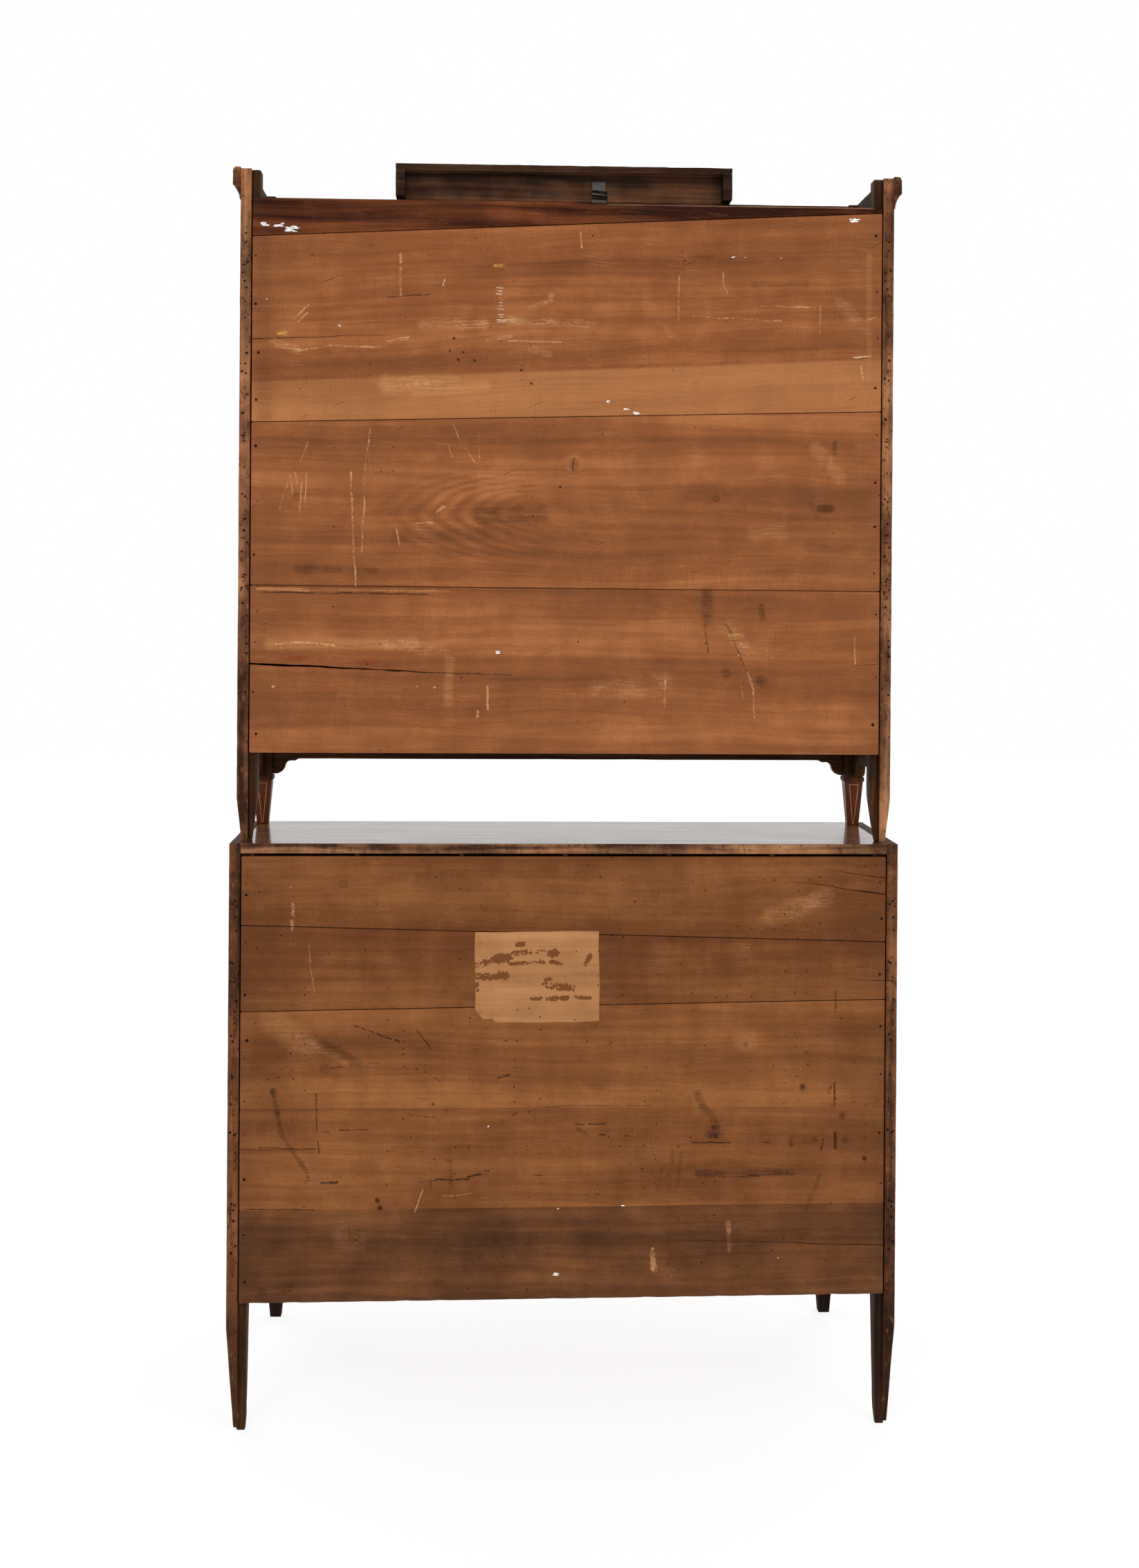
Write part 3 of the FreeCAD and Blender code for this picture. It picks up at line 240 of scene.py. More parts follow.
class Graph:
    """Small builder for node trees."""

    def __init__(self, tree: bpy.types.NodeTree) -> None:
        """Start with a node tree."""
        self.nodes = tree.nodes
        self.links = tree.links

    def add(self, kind: str, inputs: dict[str | int, Any] | None = None, **settings: Any) -> bpy.types.Node:
        """Add a node.

        Args:
            kind: Blender's type of the node.
            inputs: sockets or plain values, by the name or number of the input that they go to.
            settings: the node's own properties.

        Returns:
            The node.
        """
        node = self.nodes.new(kind)
        for name, value in settings.items():
            setattr(node, name, value)
        for key, value in (inputs or {}).items():
            if isinstance(value, NodeSocket):
                self.links.new(value, node.inputs[key])
            else:
                node.inputs[key].default_value = value
        return node

    def math(self, operation: str, *values: Any, clamp: bool = False) -> NodeSocket:
        """Arithmetic on numbers."""
        node = self.add("ShaderNodeMath", dict(enumerate(values)), operation=operation, use_clamp=clamp)
        return node.outputs[0]

    def vector(self, operation: str, *values: Any) -> NodeSocket:
        """Arithmetic on vectors.

        Args:
            operation: Blender's name of the operation.
            values: sockets or plain values.

        Returns:
            The result, a number where the operation gives one.
        """
        keys = (0, "Scale") if operation == "SCALE" else range(len(values))
        node = self.add("ShaderNodeVectorMath", dict(zip(keys, values)), operation=operation)
        return node.outputs["Value" if operation in ("DOT_PRODUCT", "LENGTH") else "Vector"]

    def join(self, x: Any, y: Any, z: Any) -> NodeSocket:
        """Vector of three numbers."""
        return self.add("ShaderNodeCombineXYZ", {"X": x, "Y": y, "Z": z}).outputs[0]

    def grain(self, place: Any, scale: Sequence[float], detail: float = 2.0,
              rough: float = 0.55) -> NodeSocket:
        """Noise stretched by a scale along each axis."""
        stretched = self.vector("MULTIPLY", place, tuple(scale))
        return self.add("ShaderNodeTexNoise", {"Vector": stretched, "Scale": 1.0, "Detail": detail,
                                               "Roughness": rough}).outputs["Fac"]

    def remap(self, value: Any, low: float, high: float, to_low: float = 0.0,
              to_high: float = 1.0) -> NodeSocket:
        """Smooth step between two values."""
        return self.add("ShaderNodeMapRange", dict(enumerate((value, low, high, to_low, to_high))),
                        interpolation_type="SMOOTHSTEP", clamp=False).outputs["Result"]

    def ramp(self, value: Any, stops: Sequence[tuple[float, Colour]]) -> NodeSocket:
        """Colour ramp.

        Args:
            value: number that runs along the ramp.
            stops: position and colour of each stop.

        Returns:
            The colour.
        """
        node = self.add("ShaderNodeValToRGB", {0: value})
        elements = node.color_ramp.elements
        while len(elements) < len(stops):
            elements.new(1.0)
        for element, (position, colour) in zip(elements, stops):
            element.position = position
            element.color = colour
        return node.outputs["Color"]

    def mix(self, factor: Any, first: Any, second: Any, blend: str = "MIX") -> NodeSocket:
        """Mix of two colours."""
        inputs = {0: factor, 6: first, 7: second}
        return self.add("ShaderNodeMix", inputs, data_type="RGBA", blend_type=blend).outputs[2]

    def shaded(self, colour: Any, share: Any) -> NodeSocket:
        """Colour times a number."""
        return self.mix(1.0, colour, self.join(share, share, share), "MULTIPLY")

    def bump(self, height: Any, strength: float, distance: float) -> NodeSocket:
        """Surface normal from a height."""
        inputs = {"Strength": strength, "Distance": distance, "Height": height}
        return self.add("ShaderNodeBump", inputs).outputs["Normal"]

    def finish(self, **inputs: Any) -> None:
        """Close the tree with the surface shader and its inputs by name."""
        shader = self.add("ShaderNodeBsdfPrincipled", {k.replace("_", " "): v for k, v in inputs.items()})
        self.add("ShaderNodeOutputMaterial", {"Surface": shader.outputs[0]})


def new_material(name: str) -> tuple[bpy.types.Material, Graph]:
    """Empty material.

    Args:
        name: its name.

    Returns:
        The material and the builder of its tree.
    """
    material = bpy.data.materials.new(name)
    material.use_nodes = True
    material.node_tree.nodes.clear()
    return material, Graph(material.node_tree)


def new_tree(name: str, kind: str, inputs: Sequence[tuple[str, str]],
             output: tuple[str, str]) -> tuple[bpy.types.NodeTree, Graph, Any]:
    """Empty node tree with its sockets.

    Args:
        name: name of the tree.
        kind: Blender's type of the tree.
        inputs: name and kind of each input.
        output: name and kind of its output.

    Returns:
        The tree, its builder and the sockets that carry the inputs.
    """
    tree = bpy.data.node_groups.new(name, kind)
    for way, sockets in (("INPUT", inputs), ("OUTPUT", (output,))):
        for label, sort in sockets:
            tree.interface.new_socket(name=label, in_out=way, socket_type="NodeSocket" + sort)
    graph = Graph(tree)
    return tree, graph, graph.add("NodeGroupInput").outputs


@cache
def stroke_group() -> bpy.types.NodeTree:
    """Shader group for one mark.

    Returns:
        A tree whose output is 1 on a line between two points and fades to 0 at half its width.
    """
    sockets = (("Point", "Vector"), ("Start", "Vector"), ("Span", "Vector"), ("Share", "Float"),
               ("Half", "Float"))
    tree, graph, given = new_tree("stroke", "ShaderNodeTree", sockets, ("Mask", "Float"))
    away = graph.vector("SUBTRACT", given["Point"], given["Start"])
    share = graph.math("MULTIPLY", graph.vector("DOT_PRODUCT", away, given["Span"]), given["Share"])
    share = graph.math("MAXIMUM", graph.math("MINIMUM", share, 1.0), 0.0)
    rest = graph.vector("SUBTRACT", away, graph.vector("SCALE", given["Span"], share))
    near = graph.math("DIVIDE", graph.vector("LENGTH", rest), given["Half"])
    graph.add("NodeGroupOutput", {"Mask": graph.remap(near, 1.0, 0.25)})
    return tree


@dataclass(frozen=True)
class Wood:
    """One kind of wood: its colours, its figure and its surface."""

    name: str
    dark: Shade
    middle: Shade
    light: Shade
    grime: Shade = (60, 40, 26)
    grime_share: float = 0.35
    figure: float = 0.2
    ring: float = 0.011
    rough: float = 0.55
    coat: float = 0.0
    coat_rough: float = 0.12
    bump: float = 0.35
    worm: float = 0.0
    contrast: float = 0.7
    shine: float = 0.3
    end_dirt: float = 0.0
    smears: float = 0.0
    specks: float = 0.0
    chips: float = 0.0
    scratches: float = 0.0
    floor_dirt: float = 0.0
    mottle: float = 0.16
    vein: float = 0.15
    line: float = 0.1

    def tinted(self, name: str, dark: Shade, middle: Shade, light: Shade, **changes: Any) -> "Wood":
        """The same wood in other colours, with other changes by name."""
        return replace(self, name=name, dark=dark, middle=middle, light=light, **changes)

    def material(self, grain: Axis) -> bpy.types.Material:
        """Material of this wood with its fibres along an axis, made once."""
        name = self.name + "_" + grain.value
        return bpy.data.materials.get(name) or self.dress(name, grain)

    def dress(self, name: str, grain: Axis, shift: Sequence[float] = (0.0, 0.0, 0.0),
              heart: Sequence[float] | None = None, depth: float = 0.0, tilt: float = 0.0,
              marks: Sequence[Mark] = (), knots: Sequence[Knot] = (),
              zone: Zone | None = None) -> bpy.types.Material:
        """Build the material.

        Args:
            name: name of the material.
            grain: direction of the fibres.
            shift: offset of the pattern, so that boards differ.
            heart: X and Z of the middle of the nested ring figure, and its slope along the board.
            depth: Y of the face that carries the marks.
            tilt: fall of the fibres along the board.
            marks: stains and scrapes on the face.
            knots: knots on the face.
            zone: paler wood glued on below.

        Returns:
            The finished material.
        """
        material, graph = new_material(name)
        place = graph.add("ShaderNodeTexCoord").outputs["Object"]
        x, y, z = graph.add("ShaderNodeSeparateXYZ", {0: place}).outputs
        order = {Axis.X: (x, z, y), Axis.Y: (y, x, z), Axis.Z: (z, x, y)}[grain]
        run = order[0]
        flat = graph.join(x, z, 0.0)
        across = graph.math("MULTIPLY_ADD", run, tilt, order[1]) if tilt else order[1]
        knot_mask = None
        for knot in knots:
            across, mask = self.knot_bend(graph, flat, across, knot, depth)
            knot_mask = mask if knot_mask is None else graph.math("MAXIMUM", knot_mask, mask)
        fibre_place = graph.vector("ADD", graph.join(run, across, order[2]), tuple(shift))
        drift = graph.math("SUBTRACT", graph.grain(fibre_place, (1.9, 9.0, 9.0), 3.0), 0.5)
        bent = graph.math("MULTIPLY_ADD", drift, 0.05, across)
        waved = graph.vector("ADD", graph.join(run, bent, order[2]), tuple(shift))
        distance, figure = bent, self.figure
        if heart:
            off_run = graph.math("MULTIPLY", graph.math("SUBTRACT", run, heart[0]), heart[2])
            off_side = graph.math("SUBTRACT", bent, heart[1])
            distance = graph.vector("LENGTH", graph.join(off_run, off_side, 0.004))
            figure = graph.math("MULTIPLY", graph.remap(distance, 0.12, 0.07, 0.0, self.figure),
                                graph.remap(run, heart[0] + 0.02, heart[0] + 0.26))
        jitter = graph.grain(waved, (1.0, 24.0, 24.0), 1.0)
        turns = graph.math("MULTIPLY_ADD", distance, 2 * math.pi / self.ring,
                           graph.math("MULTIPLY", jitter, 9.0))
        rings = graph.math("MULTIPLY_ADD", graph.math("SINE", turns), 0.5, 0.5)
        bands = graph.grain(waved, (0.75, 11.0, 11.0), 4.0, 0.6)
        veins = graph.grain(waved, (1.7, 62.0, 62.0), 3.0, 0.55)
        streaks = graph.grain(waved, (3.5, 170.0, 170.0), 3.0, 0.6)
        lines = graph.grain(waved, (2.2, 300.0, 300.0), 2.0, 0.5)
        fibres = graph.grain(waved, (14.0, 800.0, 800.0), 2.0, 0.6)
        blots = graph.grain(place, (4.0, 4.0, 4.0), 4.0, 0.62)
        smudges = graph.grain(place, (15.0, 15.0, 15.0), 4.0, 0.6)
        tone = graph.math("ADD", graph.remap(bands, 0.3, 0.7, -0.27 * self.contrast, 0.27 * self.contrast),
                          graph.remap(veins, 0.3, 0.7, 0.5 - self.vein * self.contrast,
                                      0.5 + self.vein * self.contrast))
        tone = graph.math("MULTIPLY_ADD", graph.math("SUBTRACT", rings, 0.5), figure, tone)
        cloudy = self.mottle * self.contrast
        tone = graph.math("ADD", tone, graph.remap(smudges, 0.3, 0.7, -cloudy, cloudy))
        colour = graph.ramp(tone, ((0.18, linear(self.dark)), (0.5, linear(self.middle)),
                                   (0.82, linear(self.light))))
        if zone:
            below = self.zone_mask(graph, flat, bands, zone, depth)
            colour = graph.mix(below, colour, linear(zone.colour))
        fine = graph.remap(fibres, 0.3, 0.7, 1.0 - 0.08 * self.contrast, 1.0 + 0.07 * self.contrast)
        drawn = graph.remap(lines, 0.56, 0.7, 1.0, 1.0 - self.line * self.contrast)
        fine = graph.math("MULTIPLY", fine, drawn)
        colour = graph.shaded(colour, fine)
        if self.smears:
            wiped = graph.grain(graph.vector("ADD", flat, tuple(shift)), (34.0, 5.0, 0.0), 4.0, 0.62)
            wiped = graph.remap(wiped, 0.3, 0.7, 1.0 - self.smears, 1.0 + self.smears)
            colour = graph.shaded(colour, wiped)
        soil = graph.math("MULTIPLY", graph.remap(blots, 0.45, 0.72), self.grime_share)
        if self.specks:
            pits = graph.grain(waved, (75.0, 330.0, 330.0), 3.0, 0.7)
            deep = graph.remap(pits, 0.56, 0.72, 0.0, self.specks)
            raised = graph.remap(pits, 0.44, 0.3, 0.0, 0.6 * self.specks)
            colour = graph.mix(deep, colour, linear(Tone.BROWN.value))
            colour = graph.mix(raised, colour, linear(self.light))
        if self.end_dirt:
            ends = graph.remap(graph.math("ABSOLUTE", x), 0.44, 0.59, 0.0, 2.0 * self.end_dirt)
            soil = graph.math("MULTIPLY_ADD", ends, blots, soil, clamp=True)
        if self.floor_dirt:
            soil = graph.math("MAXIMUM", soil, graph.remap(z, 0.34, 0.16, 0.0, self.floor_dirt))
        colour = graph.mix(soil, colour, linear(self.grime))
        if self.chips:
            wear = graph.grain(place, (110.0, 110.0, 55.0), 4.0, 0.7)
            rubbed = graph.remap(wear, 0.56, 0.7, 0.0, 0.5 * self.chips)
            chipped = graph.remap(wear, 0.45, 0.36, 0.0, self.chips)
            colour = graph.mix(rubbed, colour, linear(CHIP_PALE))
            colour = graph.mix(chipped, colour, linear(CHIP_DARK))
        if self.scratches:
            colour = self.scratched(graph, colour, flat, shift, smudges)
        if knot_mask is not None:
            colour = graph.mix(knot_mask, colour, linear(Tone.BROWN.value))
        colour = self.marked(graph, colour, flat, depth, marks)
        height = graph.math("MULTIPLY_ADD", fibres, 0.6, graph.math("MULTIPLY", streaks, 0.8))
        if self.worm:
            colour, height = self.worm_holes(graph, colour, height, flat, blots)
        rough = graph.remap(streaks, 0.3, 0.7, self.rough - 0.07, self.rough + 0.09)
        rough = graph.math("MULTIPLY_ADD", soil, 0.2, rough, clamp=True)
        graph.finish(Base_Color=colour, Roughness=rough, Normal=graph.bump(height, self.bump, 0.0006),
                     Coat_Weight=self.coat, Coat_Roughness=self.coat_rough, Specular_IOR_Level=self.shine)
        return material

    def scratched(self, graph: Graph, colour: Any, flat: Any, shift: Sequence[float], smudges: Any) -> Any:
        """Fine crumbs of dirt and thin straight scratches in a few directions.

        Args:
            graph: tree to add to.
            colour: colour so far.
            flat: X and Z on the face.
            shift: offset of the pattern.
            smudges: noise that gathers the scratches.

        Returns:
            The new colour.
        """
        moved = graph.vector("ADD", flat, tuple(shift))
        crumbs = graph.remap(graph.grain(moved, (520.0, 520.0, 0.0), 3.0, 0.7), 0.35, 0.65, 0.87, 1.13)
        colour = graph.shaded(colour, crumbs)
        for angle, limit, gain, tone in ((6.0, 0.60, 1.0, Tone.TAN), (-58.0, 0.66, 0.7, Tone.TAN),
                                         (84.0, 0.62, 1.5, Tone.BROWN), (-24.0, 0.68, 4.0, Tone.DARK)):
            turn = math.radians(angle)
            forth = graph.vector("DOT_PRODUCT", moved, (math.cos(turn), math.sin(turn), 0.0))
            side = graph.vector("DOT_PRODUCT", moved, (-math.sin(turn), math.cos(turn), 0.0))
            thin = graph.grain(graph.join(forth, side, angle), (13.0, 520.0, 1.0), 2.0, 0.5)
            thin = graph.remap(thin, limit, limit + 0.09, 0.0, gain * self.scratches)
            mask = graph.math("MULTIPLY", thin, graph.remap(smudges, 0.42, 0.62))
            colour = graph.mix(mask, colour, linear(tone.value))
        return colour

    @staticmethod
    def zone_mask(graph: Graph, flat: Any, bands: Any, zone: Zone, depth: float) -> Any:
        """Mask of the wood below a glue line.

        Args:
            graph: tree to add to.
            flat: X and Z on the face.
            bands: broad noise that lets the colour come and go.
            zone: the zone.
            depth: Y of the face.

        Returns:
            The mask.
        """
        begin = CAMERA.on_plane(zone.start, depth)
        end = CAMERA.on_plane(zone.end, depth)
        slope = (end[1] - begin[1]) / (end[0] - begin[0])
        away = graph.vector("SUBTRACT", flat, (*begin, 0.0))
        above = graph.vector("DOT_PRODUCT", away, (-slope, 1.0, 0.0))
        return graph.math("MULTIPLY", graph.remap(above, 0.0035, -0.0035),
                          graph.remap(bands, 0.3, 0.7, 0.55 * zone.share, zone.share))

    @staticmethod
    def knot_bend(graph: Graph, flat: Any, across: Any, knot: Knot, depth: float) -> tuple[Any, Any]:
        """Push the fibres round a knot.

        Args:
            graph: tree to add to.
            flat: X and Z on the face.
            across: height across the fibres so far.
            knot: the knot.
            depth: Y of the face.

        Returns:
            The bent height and the mask of the knot's dark middle.
        """
        spot = CAMERA.on_plane(knot.spot, depth)
        size = CAMERA.pixel_size(depth)
        away = graph.vector("SUBTRACT", flat, (*spot, 0.0))
        scaled = graph.vector("MULTIPLY", away, (*(1 / (reach * size) for reach in knot.reach), 0.0))
        ragged = graph.math("MULTIPLY_ADD", graph.grain(flat, (95.0, 95.0, 0.0), 4.0, 0.65), 1.2,
                            graph.vector("LENGTH", scaled))
        pull = graph.remap(ragged, 3.6, 0.6)
        rise = graph.vector("DOT_PRODUCT", away, (0.0, 1.0, 0.0))
        bent = graph.math("MULTIPLY_ADD", graph.math("MULTIPLY", pull, rise), -0.75, across)
        off_rim = graph.math("ABSOLUTE", graph.math("SUBTRACT", ragged, 1.4))
        rim = graph.remap(off_rim, 0.34, 0.05, 0.0, 0.6 * knot.dark)
        return bent, graph.math("MAXIMUM", rim, graph.remap(ragged, 1.7, 1.2, 0.0, knot.heart))

    @staticmethod
    def marked(graph: Graph, colour: Any, flat: Any, depth: float, marks: Sequence[Mark]) -> Any:
        """Lay stains and scrapes over a colour.

        Args:
            graph: tree to add to.
            colour: colour so far.
            flat: X and Z on the face.
            depth: Y of the face.
            marks: the marks.

        Returns:
            The new colour.
        """
        if not marks:
            return colour
        ragged, swerve = (graph.add("ShaderNodeTexNoise", {"Vector": flat, "Scale": scale, "Detail": 3.0})
                          for scale in (190.0, 24.0))
        middle = (0.5, 0.5, 0.5)
        near = graph.vector("SCALE", graph.vector("SUBTRACT", ragged.outputs["Color"], middle), 0.0014)
        far = graph.vector("SCALE", graph.vector("SUBTRACT", swerve.outputs["Color"], middle), 0.008)
        point = graph.vector("ADD", graph.vector("ADD", flat, near), far)
        point = graph.vector("MULTIPLY", point, (1.0, 1.0, 0.0))
        crumbs = graph.grain(flat, (420.0, 420.0, 0.0), 2.0, 0.6)
        weave = graph.math("MULTIPLY_ADD", swerve.outputs["Fac"], 0.55,
                           graph.math("MULTIPLY", ragged.outputs["Fac"], 0.45))
        lobes = graph.math("MULTIPLY", graph.math("SUBTRACT", weave, 0.5), 4.2)
        weave = graph.math("MULTIPLY_ADD", graph.math("SUBTRACT", crumbs, 0.5), 0.35, weave)
        worn = graph.math("MULTIPLY", graph.math("SUBTRACT", weave, 0.5), 2.2)
        fibrous = graph.grain(flat, (11.0, 230.0, 0.0), 3.0, 0.65)
        hatch = graph.remap(graph.grain(flat, (24.0, 340.0, 0.0), 4.0, 0.65), 0.4, 0.62, 0.05, 1.0)
        for tone in Tone:
            total = None
            for mark in (one for one in marks if one.tone is tone):
                mask = Wood.stroke(graph, point, mark, depth)
                total = mask if total is None else graph.math("MAXIMUM", total, mask)
            if total is None:
                continue
            if tone in SOFT:
                broken = graph.math("MULTIPLY_ADD", weave, 0.6, graph.math("MULTIPLY", fibrous, 0.6))
                mask = graph.math("MULTIPLY", total, graph.remap(broken, 0.45, 0.73, 0.1, 1.0))
            elif tone in SMEARED:
                hatched = graph.math("MULTIPLY", total, hatch)
                mask = graph.math("MULTIPLY", hatched, graph.remap(weave, 0.38, 0.62, 0.1, 0.8))
            elif tone is Tone.BOARD:
                torn = graph.math("ADD", lobes, total)
                mask = graph.math("MULTIPLY", graph.remap(torn, 0.44, 0.54), graph.remap(total, 0.02, 0.1))
            else:
                mask = graph.math("ADD", total, graph.math("MULTIPLY", worn, graph.remap(total, 0.0, 0.3)))
                cover = 0.62 if tone in SCRATCHED else 0.82
                mask = graph.math("MULTIPLY", graph.remap(mask, 0.25, 0.85), cover)
            colour = graph.mix(mask, colour, linear(tone.value))
        return colour

    @staticmethod
    def stroke(graph: Graph, point: Any, mark: Mark, depth: float) -> Any:
        """Mask of one mark.

        Args:
            graph: tree to add to.
            point: place on the face, a little shaken.
            mark: the mark.
            depth: Y of the face.

        Returns:
            The mask, as strong as the mark in its middle.
        """
        begin = CAMERA.on_plane(mark.start, depth)
        end = CAMERA.on_plane(mark.end, depth)
        span = (end[0] - begin[0], end[1] - begin[1], 0.0)
        length = span[0] ** 2 + span[1] ** 2
        node = graph.add("ShaderNodeGroup", node_tree=stroke_group(), inputs={
            "Point": point, "Start": (*begin, 0.0), "Span": span,
            "Share": 1 / length if length > 1e-9 else 0.0,
            "Half": mark.width * CAMERA.pixel_size(depth) / 2})
        return graph.math("MULTIPLY", node.outputs["Mask"], mark.strength)

    def worm_holes(self, graph: Graph, colour: Any, height: Any, flat: Any, blots: Any) -> tuple[Any, Any]:
        """Prick small dark flight holes into a face.

        Args:
            graph: tree to add to.
            colour: colour so far.
            height: height so far.
            flat: X and Z on the face.
            blots: broad noise that gathers the holes.

        Returns:
            The new colour and height.
        """
        inputs = {"Vector": flat, "Scale": 1 / WORM_SPACING}
        cells = graph.add("ShaderNodeTexVoronoi", inputs, voronoi_dimensions="2D")
        lot = graph.add("ShaderNodeSeparateColor", {0: cells.outputs["Color"]})
        chosen = graph.math("LESS_THAN", lot.outputs[0], graph.remap(blots, 0.35, 0.65, 0.0, self.worm))
        radius = graph.math("MULTIPLY_ADD", lot.outputs[1], 0.035, 0.034)
        inside = graph.math("LESS_THAN", cells.outputs["Distance"], radius)
        hole = graph.math("MULTIPLY", chosen, inside)
        return graph.mix(hole, colour, linear(WORM_HOLE)), graph.math("SUBTRACT", height, hole)


@dataclass(frozen=True)
class Metal:
    """One kind of metal with its tarnish."""

    name: str
    bright: Shade
    tarnish: Shade
    metallic: float
    rough: float

    def material(self) -> bpy.types.Material:
        """Make the material once.

        Returns:
            The material of this metal.
        """
        known = bpy.data.materials.get(self.name)
        if known:
            return known
        material, graph = new_material(self.name)
        place = graph.add("ShaderNodeTexCoord").outputs["Object"]
        cloud = graph.grain(place, (90.0, 90.0, 90.0), 4.0, 0.65)
        fine = graph.grain(place, (900.0, 900.0, 900.0), 2.0, 0.6)
        worn = graph.remap(cloud, 0.35, 0.7)
        colour = graph.mix(worn, linear(self.bright), linear(self.tarnish))
        rough = graph.math("MULTIPLY_ADD", worn, 0.25, self.rough, clamp=True)
        height = graph.math("MULTIPLY_ADD", fine, 0.3, cloud)
        graph.finish(Base_Color=colour, Metallic=self.metallic, Roughness=rough,
                     Normal=graph.bump(height, 0.25, 0.0004))
        return material


VENEER = Wood("walnut_veneer", (70, 34, 17), (112, 58, 29), (150, 86, 46), grime_share=0.25, figure=0.1,
              ring=0.021, rough=0.34, coat=0.2, bump=0.12, contrast=0.85, mottle=0.03, vein=0.24, line=0.3)
FOOT = Wood("foot_veneer", (46, 19, 8), (80, 35, 14), (108, 52, 22), grime=(32, 16, 8), grime_share=0.4,
            figure=0.1, ring=0.012, rough=0.4, coat=0.08, bump=0.12, shine=0.15, mottle=0.05)
TOP = Wood("polished_top", (66, 36, 20), (98, 57, 32), (124, 78, 46), grime_share=0.15, figure=0.2,
           ring=0.018, rough=0.3, coat=0.62, bump=0.004, coat_rough=0.02, shine=0.12, mottle=0.05)
EDGE = Wood("worn_edge", (46, 26, 15), (90, 53, 30), (138, 88, 53), grime=(34, 20, 13), grime_share=0.6,
            figure=0.05, rough=0.6, bump=0.6, worm=0.5, contrast=0.9, shine=0.1, chips=0.6, floor_dirt=0.7)
PALE_EDGE = EDGE.tinted("pale_edge", (52, 29, 17), (124, 79, 50), (176, 122, 83))
TOP_EDGE = EDGE.tinted("top_edge", (66, 38, 23), (146, 100, 66), (192, 144, 102))
POST = Wood("rear_post", (34, 20, 10), (62, 37, 18), (92, 56, 28), grime=(22, 14, 9), grime_share=0.5,
            figure=0.15, rough=0.6, bump=0.35, shine=0.1, floor_dirt=0.36)
LEG = Wood("front_leg", (44, 22, 12), (84, 42, 22), (124, 66, 34), grime=(26, 17, 12), grime_share=0.6,
           figure=0.2, rough=0.42, coat=0.1, bump=0.2, shine=0.2)
# Dark wood: dust on the cabinet's shelf edges and roof top, and painted shade on the nest partitions' rear
# faces in the gap under the desk top's rear edge. The raised block's and the holes' finishes are tinted
# from it.
DUST_AND_SHADE = Wood("dust_and_shade_wood", (66, 46, 33), (110, 79, 59), (146, 104, 75), grime=(50, 36, 26),
            grime_share=0.45, figure=0.1, rough=0.62, bump=0.4, contrast=0.9, shine=0.1, floor_dirt=0.7)
# Dark finish: painted shade on the raised block's cap and end returns, darker than the wall inside. It is
# also the dark wood on the rear, inner and upward faces of the desk's front legs.
DARK_WOOD_AND_RIM_SHADE = DUST_AND_SHADE.tinted("dark_wood_and_rim_shade", (28, 17, 11), (50, 32, 21), (80, 52, 34), grime=(22, 14, 10))
# Wall inside the raised block: kept lighter than the rim, as painted light that offsets the shadow of the
# cap.
BLOCK_WALL_LIGHT = DUST_AND_SHADE.tinted("block_wall_painted_light", (46, 30, 21), (86, 57, 38), (118, 78, 51))
# Pale finish under the raised block's cap: painted light where the lamps hardly reach.
CAP_UNDERSIDE_LIGHT = DUST_AND_SHADE.tinted("cap_underside_painted_light", (126, 98, 76), (172, 138, 110), (204, 168, 136))
HOLE = DUST_AND_SHADE.tinted("dark_hole", (12, 8, 6), (20, 13, 9), (32, 21, 14), grime=(10, 7, 5))
POPLAR = Wood("poplar", (146, 104, 64), (182, 140, 92), (206, 170, 122), grime=(110, 80, 52),
              grime_share=0.3, figure=0.15, rough=0.6, bump=0.3, shine=0.2)
DESK_BACK = Wood("desk_back", (92, 54, 29), (125, 76, 42), (158, 103, 60), grime=(82, 49, 27),
                 grime_share=0.35, figure=0.02, rough=0.62, bump=0.4, worm=0.36, contrast=0.55, shine=0.08,
                 end_dirt=0.3, smears=0.06, specks=0.25, scratches=0.18, mottle=0.12, vein=0.12, line=0.18)
DESK_UPPER = DESK_BACK.tinted("desk_back_upper", (84, 49, 26), (113, 68, 37), (146, 94, 54))
DESK_DARK = DESK_BACK.tinted("desk_back_dark", (78, 45, 24), (111, 66, 36), (140, 90, 51),
                             grime=(74, 44, 25), contrast=0.5)
DESK_FOOT = DESK_BACK.tinted("desk_back_foot", (64, 40, 24), (98, 61, 36), (128, 82, 48),
                             grime=(58, 36, 22), grime_share=0.5, bump=0.45, worm=0.25, contrast=0.6,
                             smears=0.05, scratches=0.12, mottle=0.16, vein=0.15, line=0.1)
CABINET_BACK = Wood("cabinet_back", (104, 61, 35), (135, 80, 46), (166, 105, 63), grime=(112, 70, 42),
                    grime_share=0.22, figure=0.02, rough=0.55, bump=0.3, worm=0.05, contrast=0.66,
                    shine=0.1, end_dirt=0.2, smears=0.03, specks=0.18, scratches=0.24, mottle=0.12,
                    vein=0.12, line=0.18)
CABINET_FIGURED = replace(CABINET_BACK, name="cabinet_back_figured", figure=0.2, ring=0.0095)
CABINET_RED = CABINET_BACK.tinted("cabinet_back_red", (106, 60, 33), (134, 79, 45), (164, 103, 61))
WEDGE = Wood("dark_wedge", (40, 19, 10), (82, 43, 23), (122, 68, 36), grime=(34, 18, 10), grime_share=0.35,
             figure=0.05, rough=0.5, bump=0.3, worm=0.12, contrast=1.05, shine=0.06, specks=0.25,
             scratches=0.16, mottle=0.06, vein=0.22, line=0.2)
STRING = Wood("light_stringing", (140, 94, 50), (174, 122, 68), (200, 152, 94), grime_share=0.2,
              figure=0.1, rough=0.4, coat=0.2, bump=0.1)
BRASS = Metal("brass", (214, 168, 88), (128, 88, 42), metallic=1.0, rough=0.24)
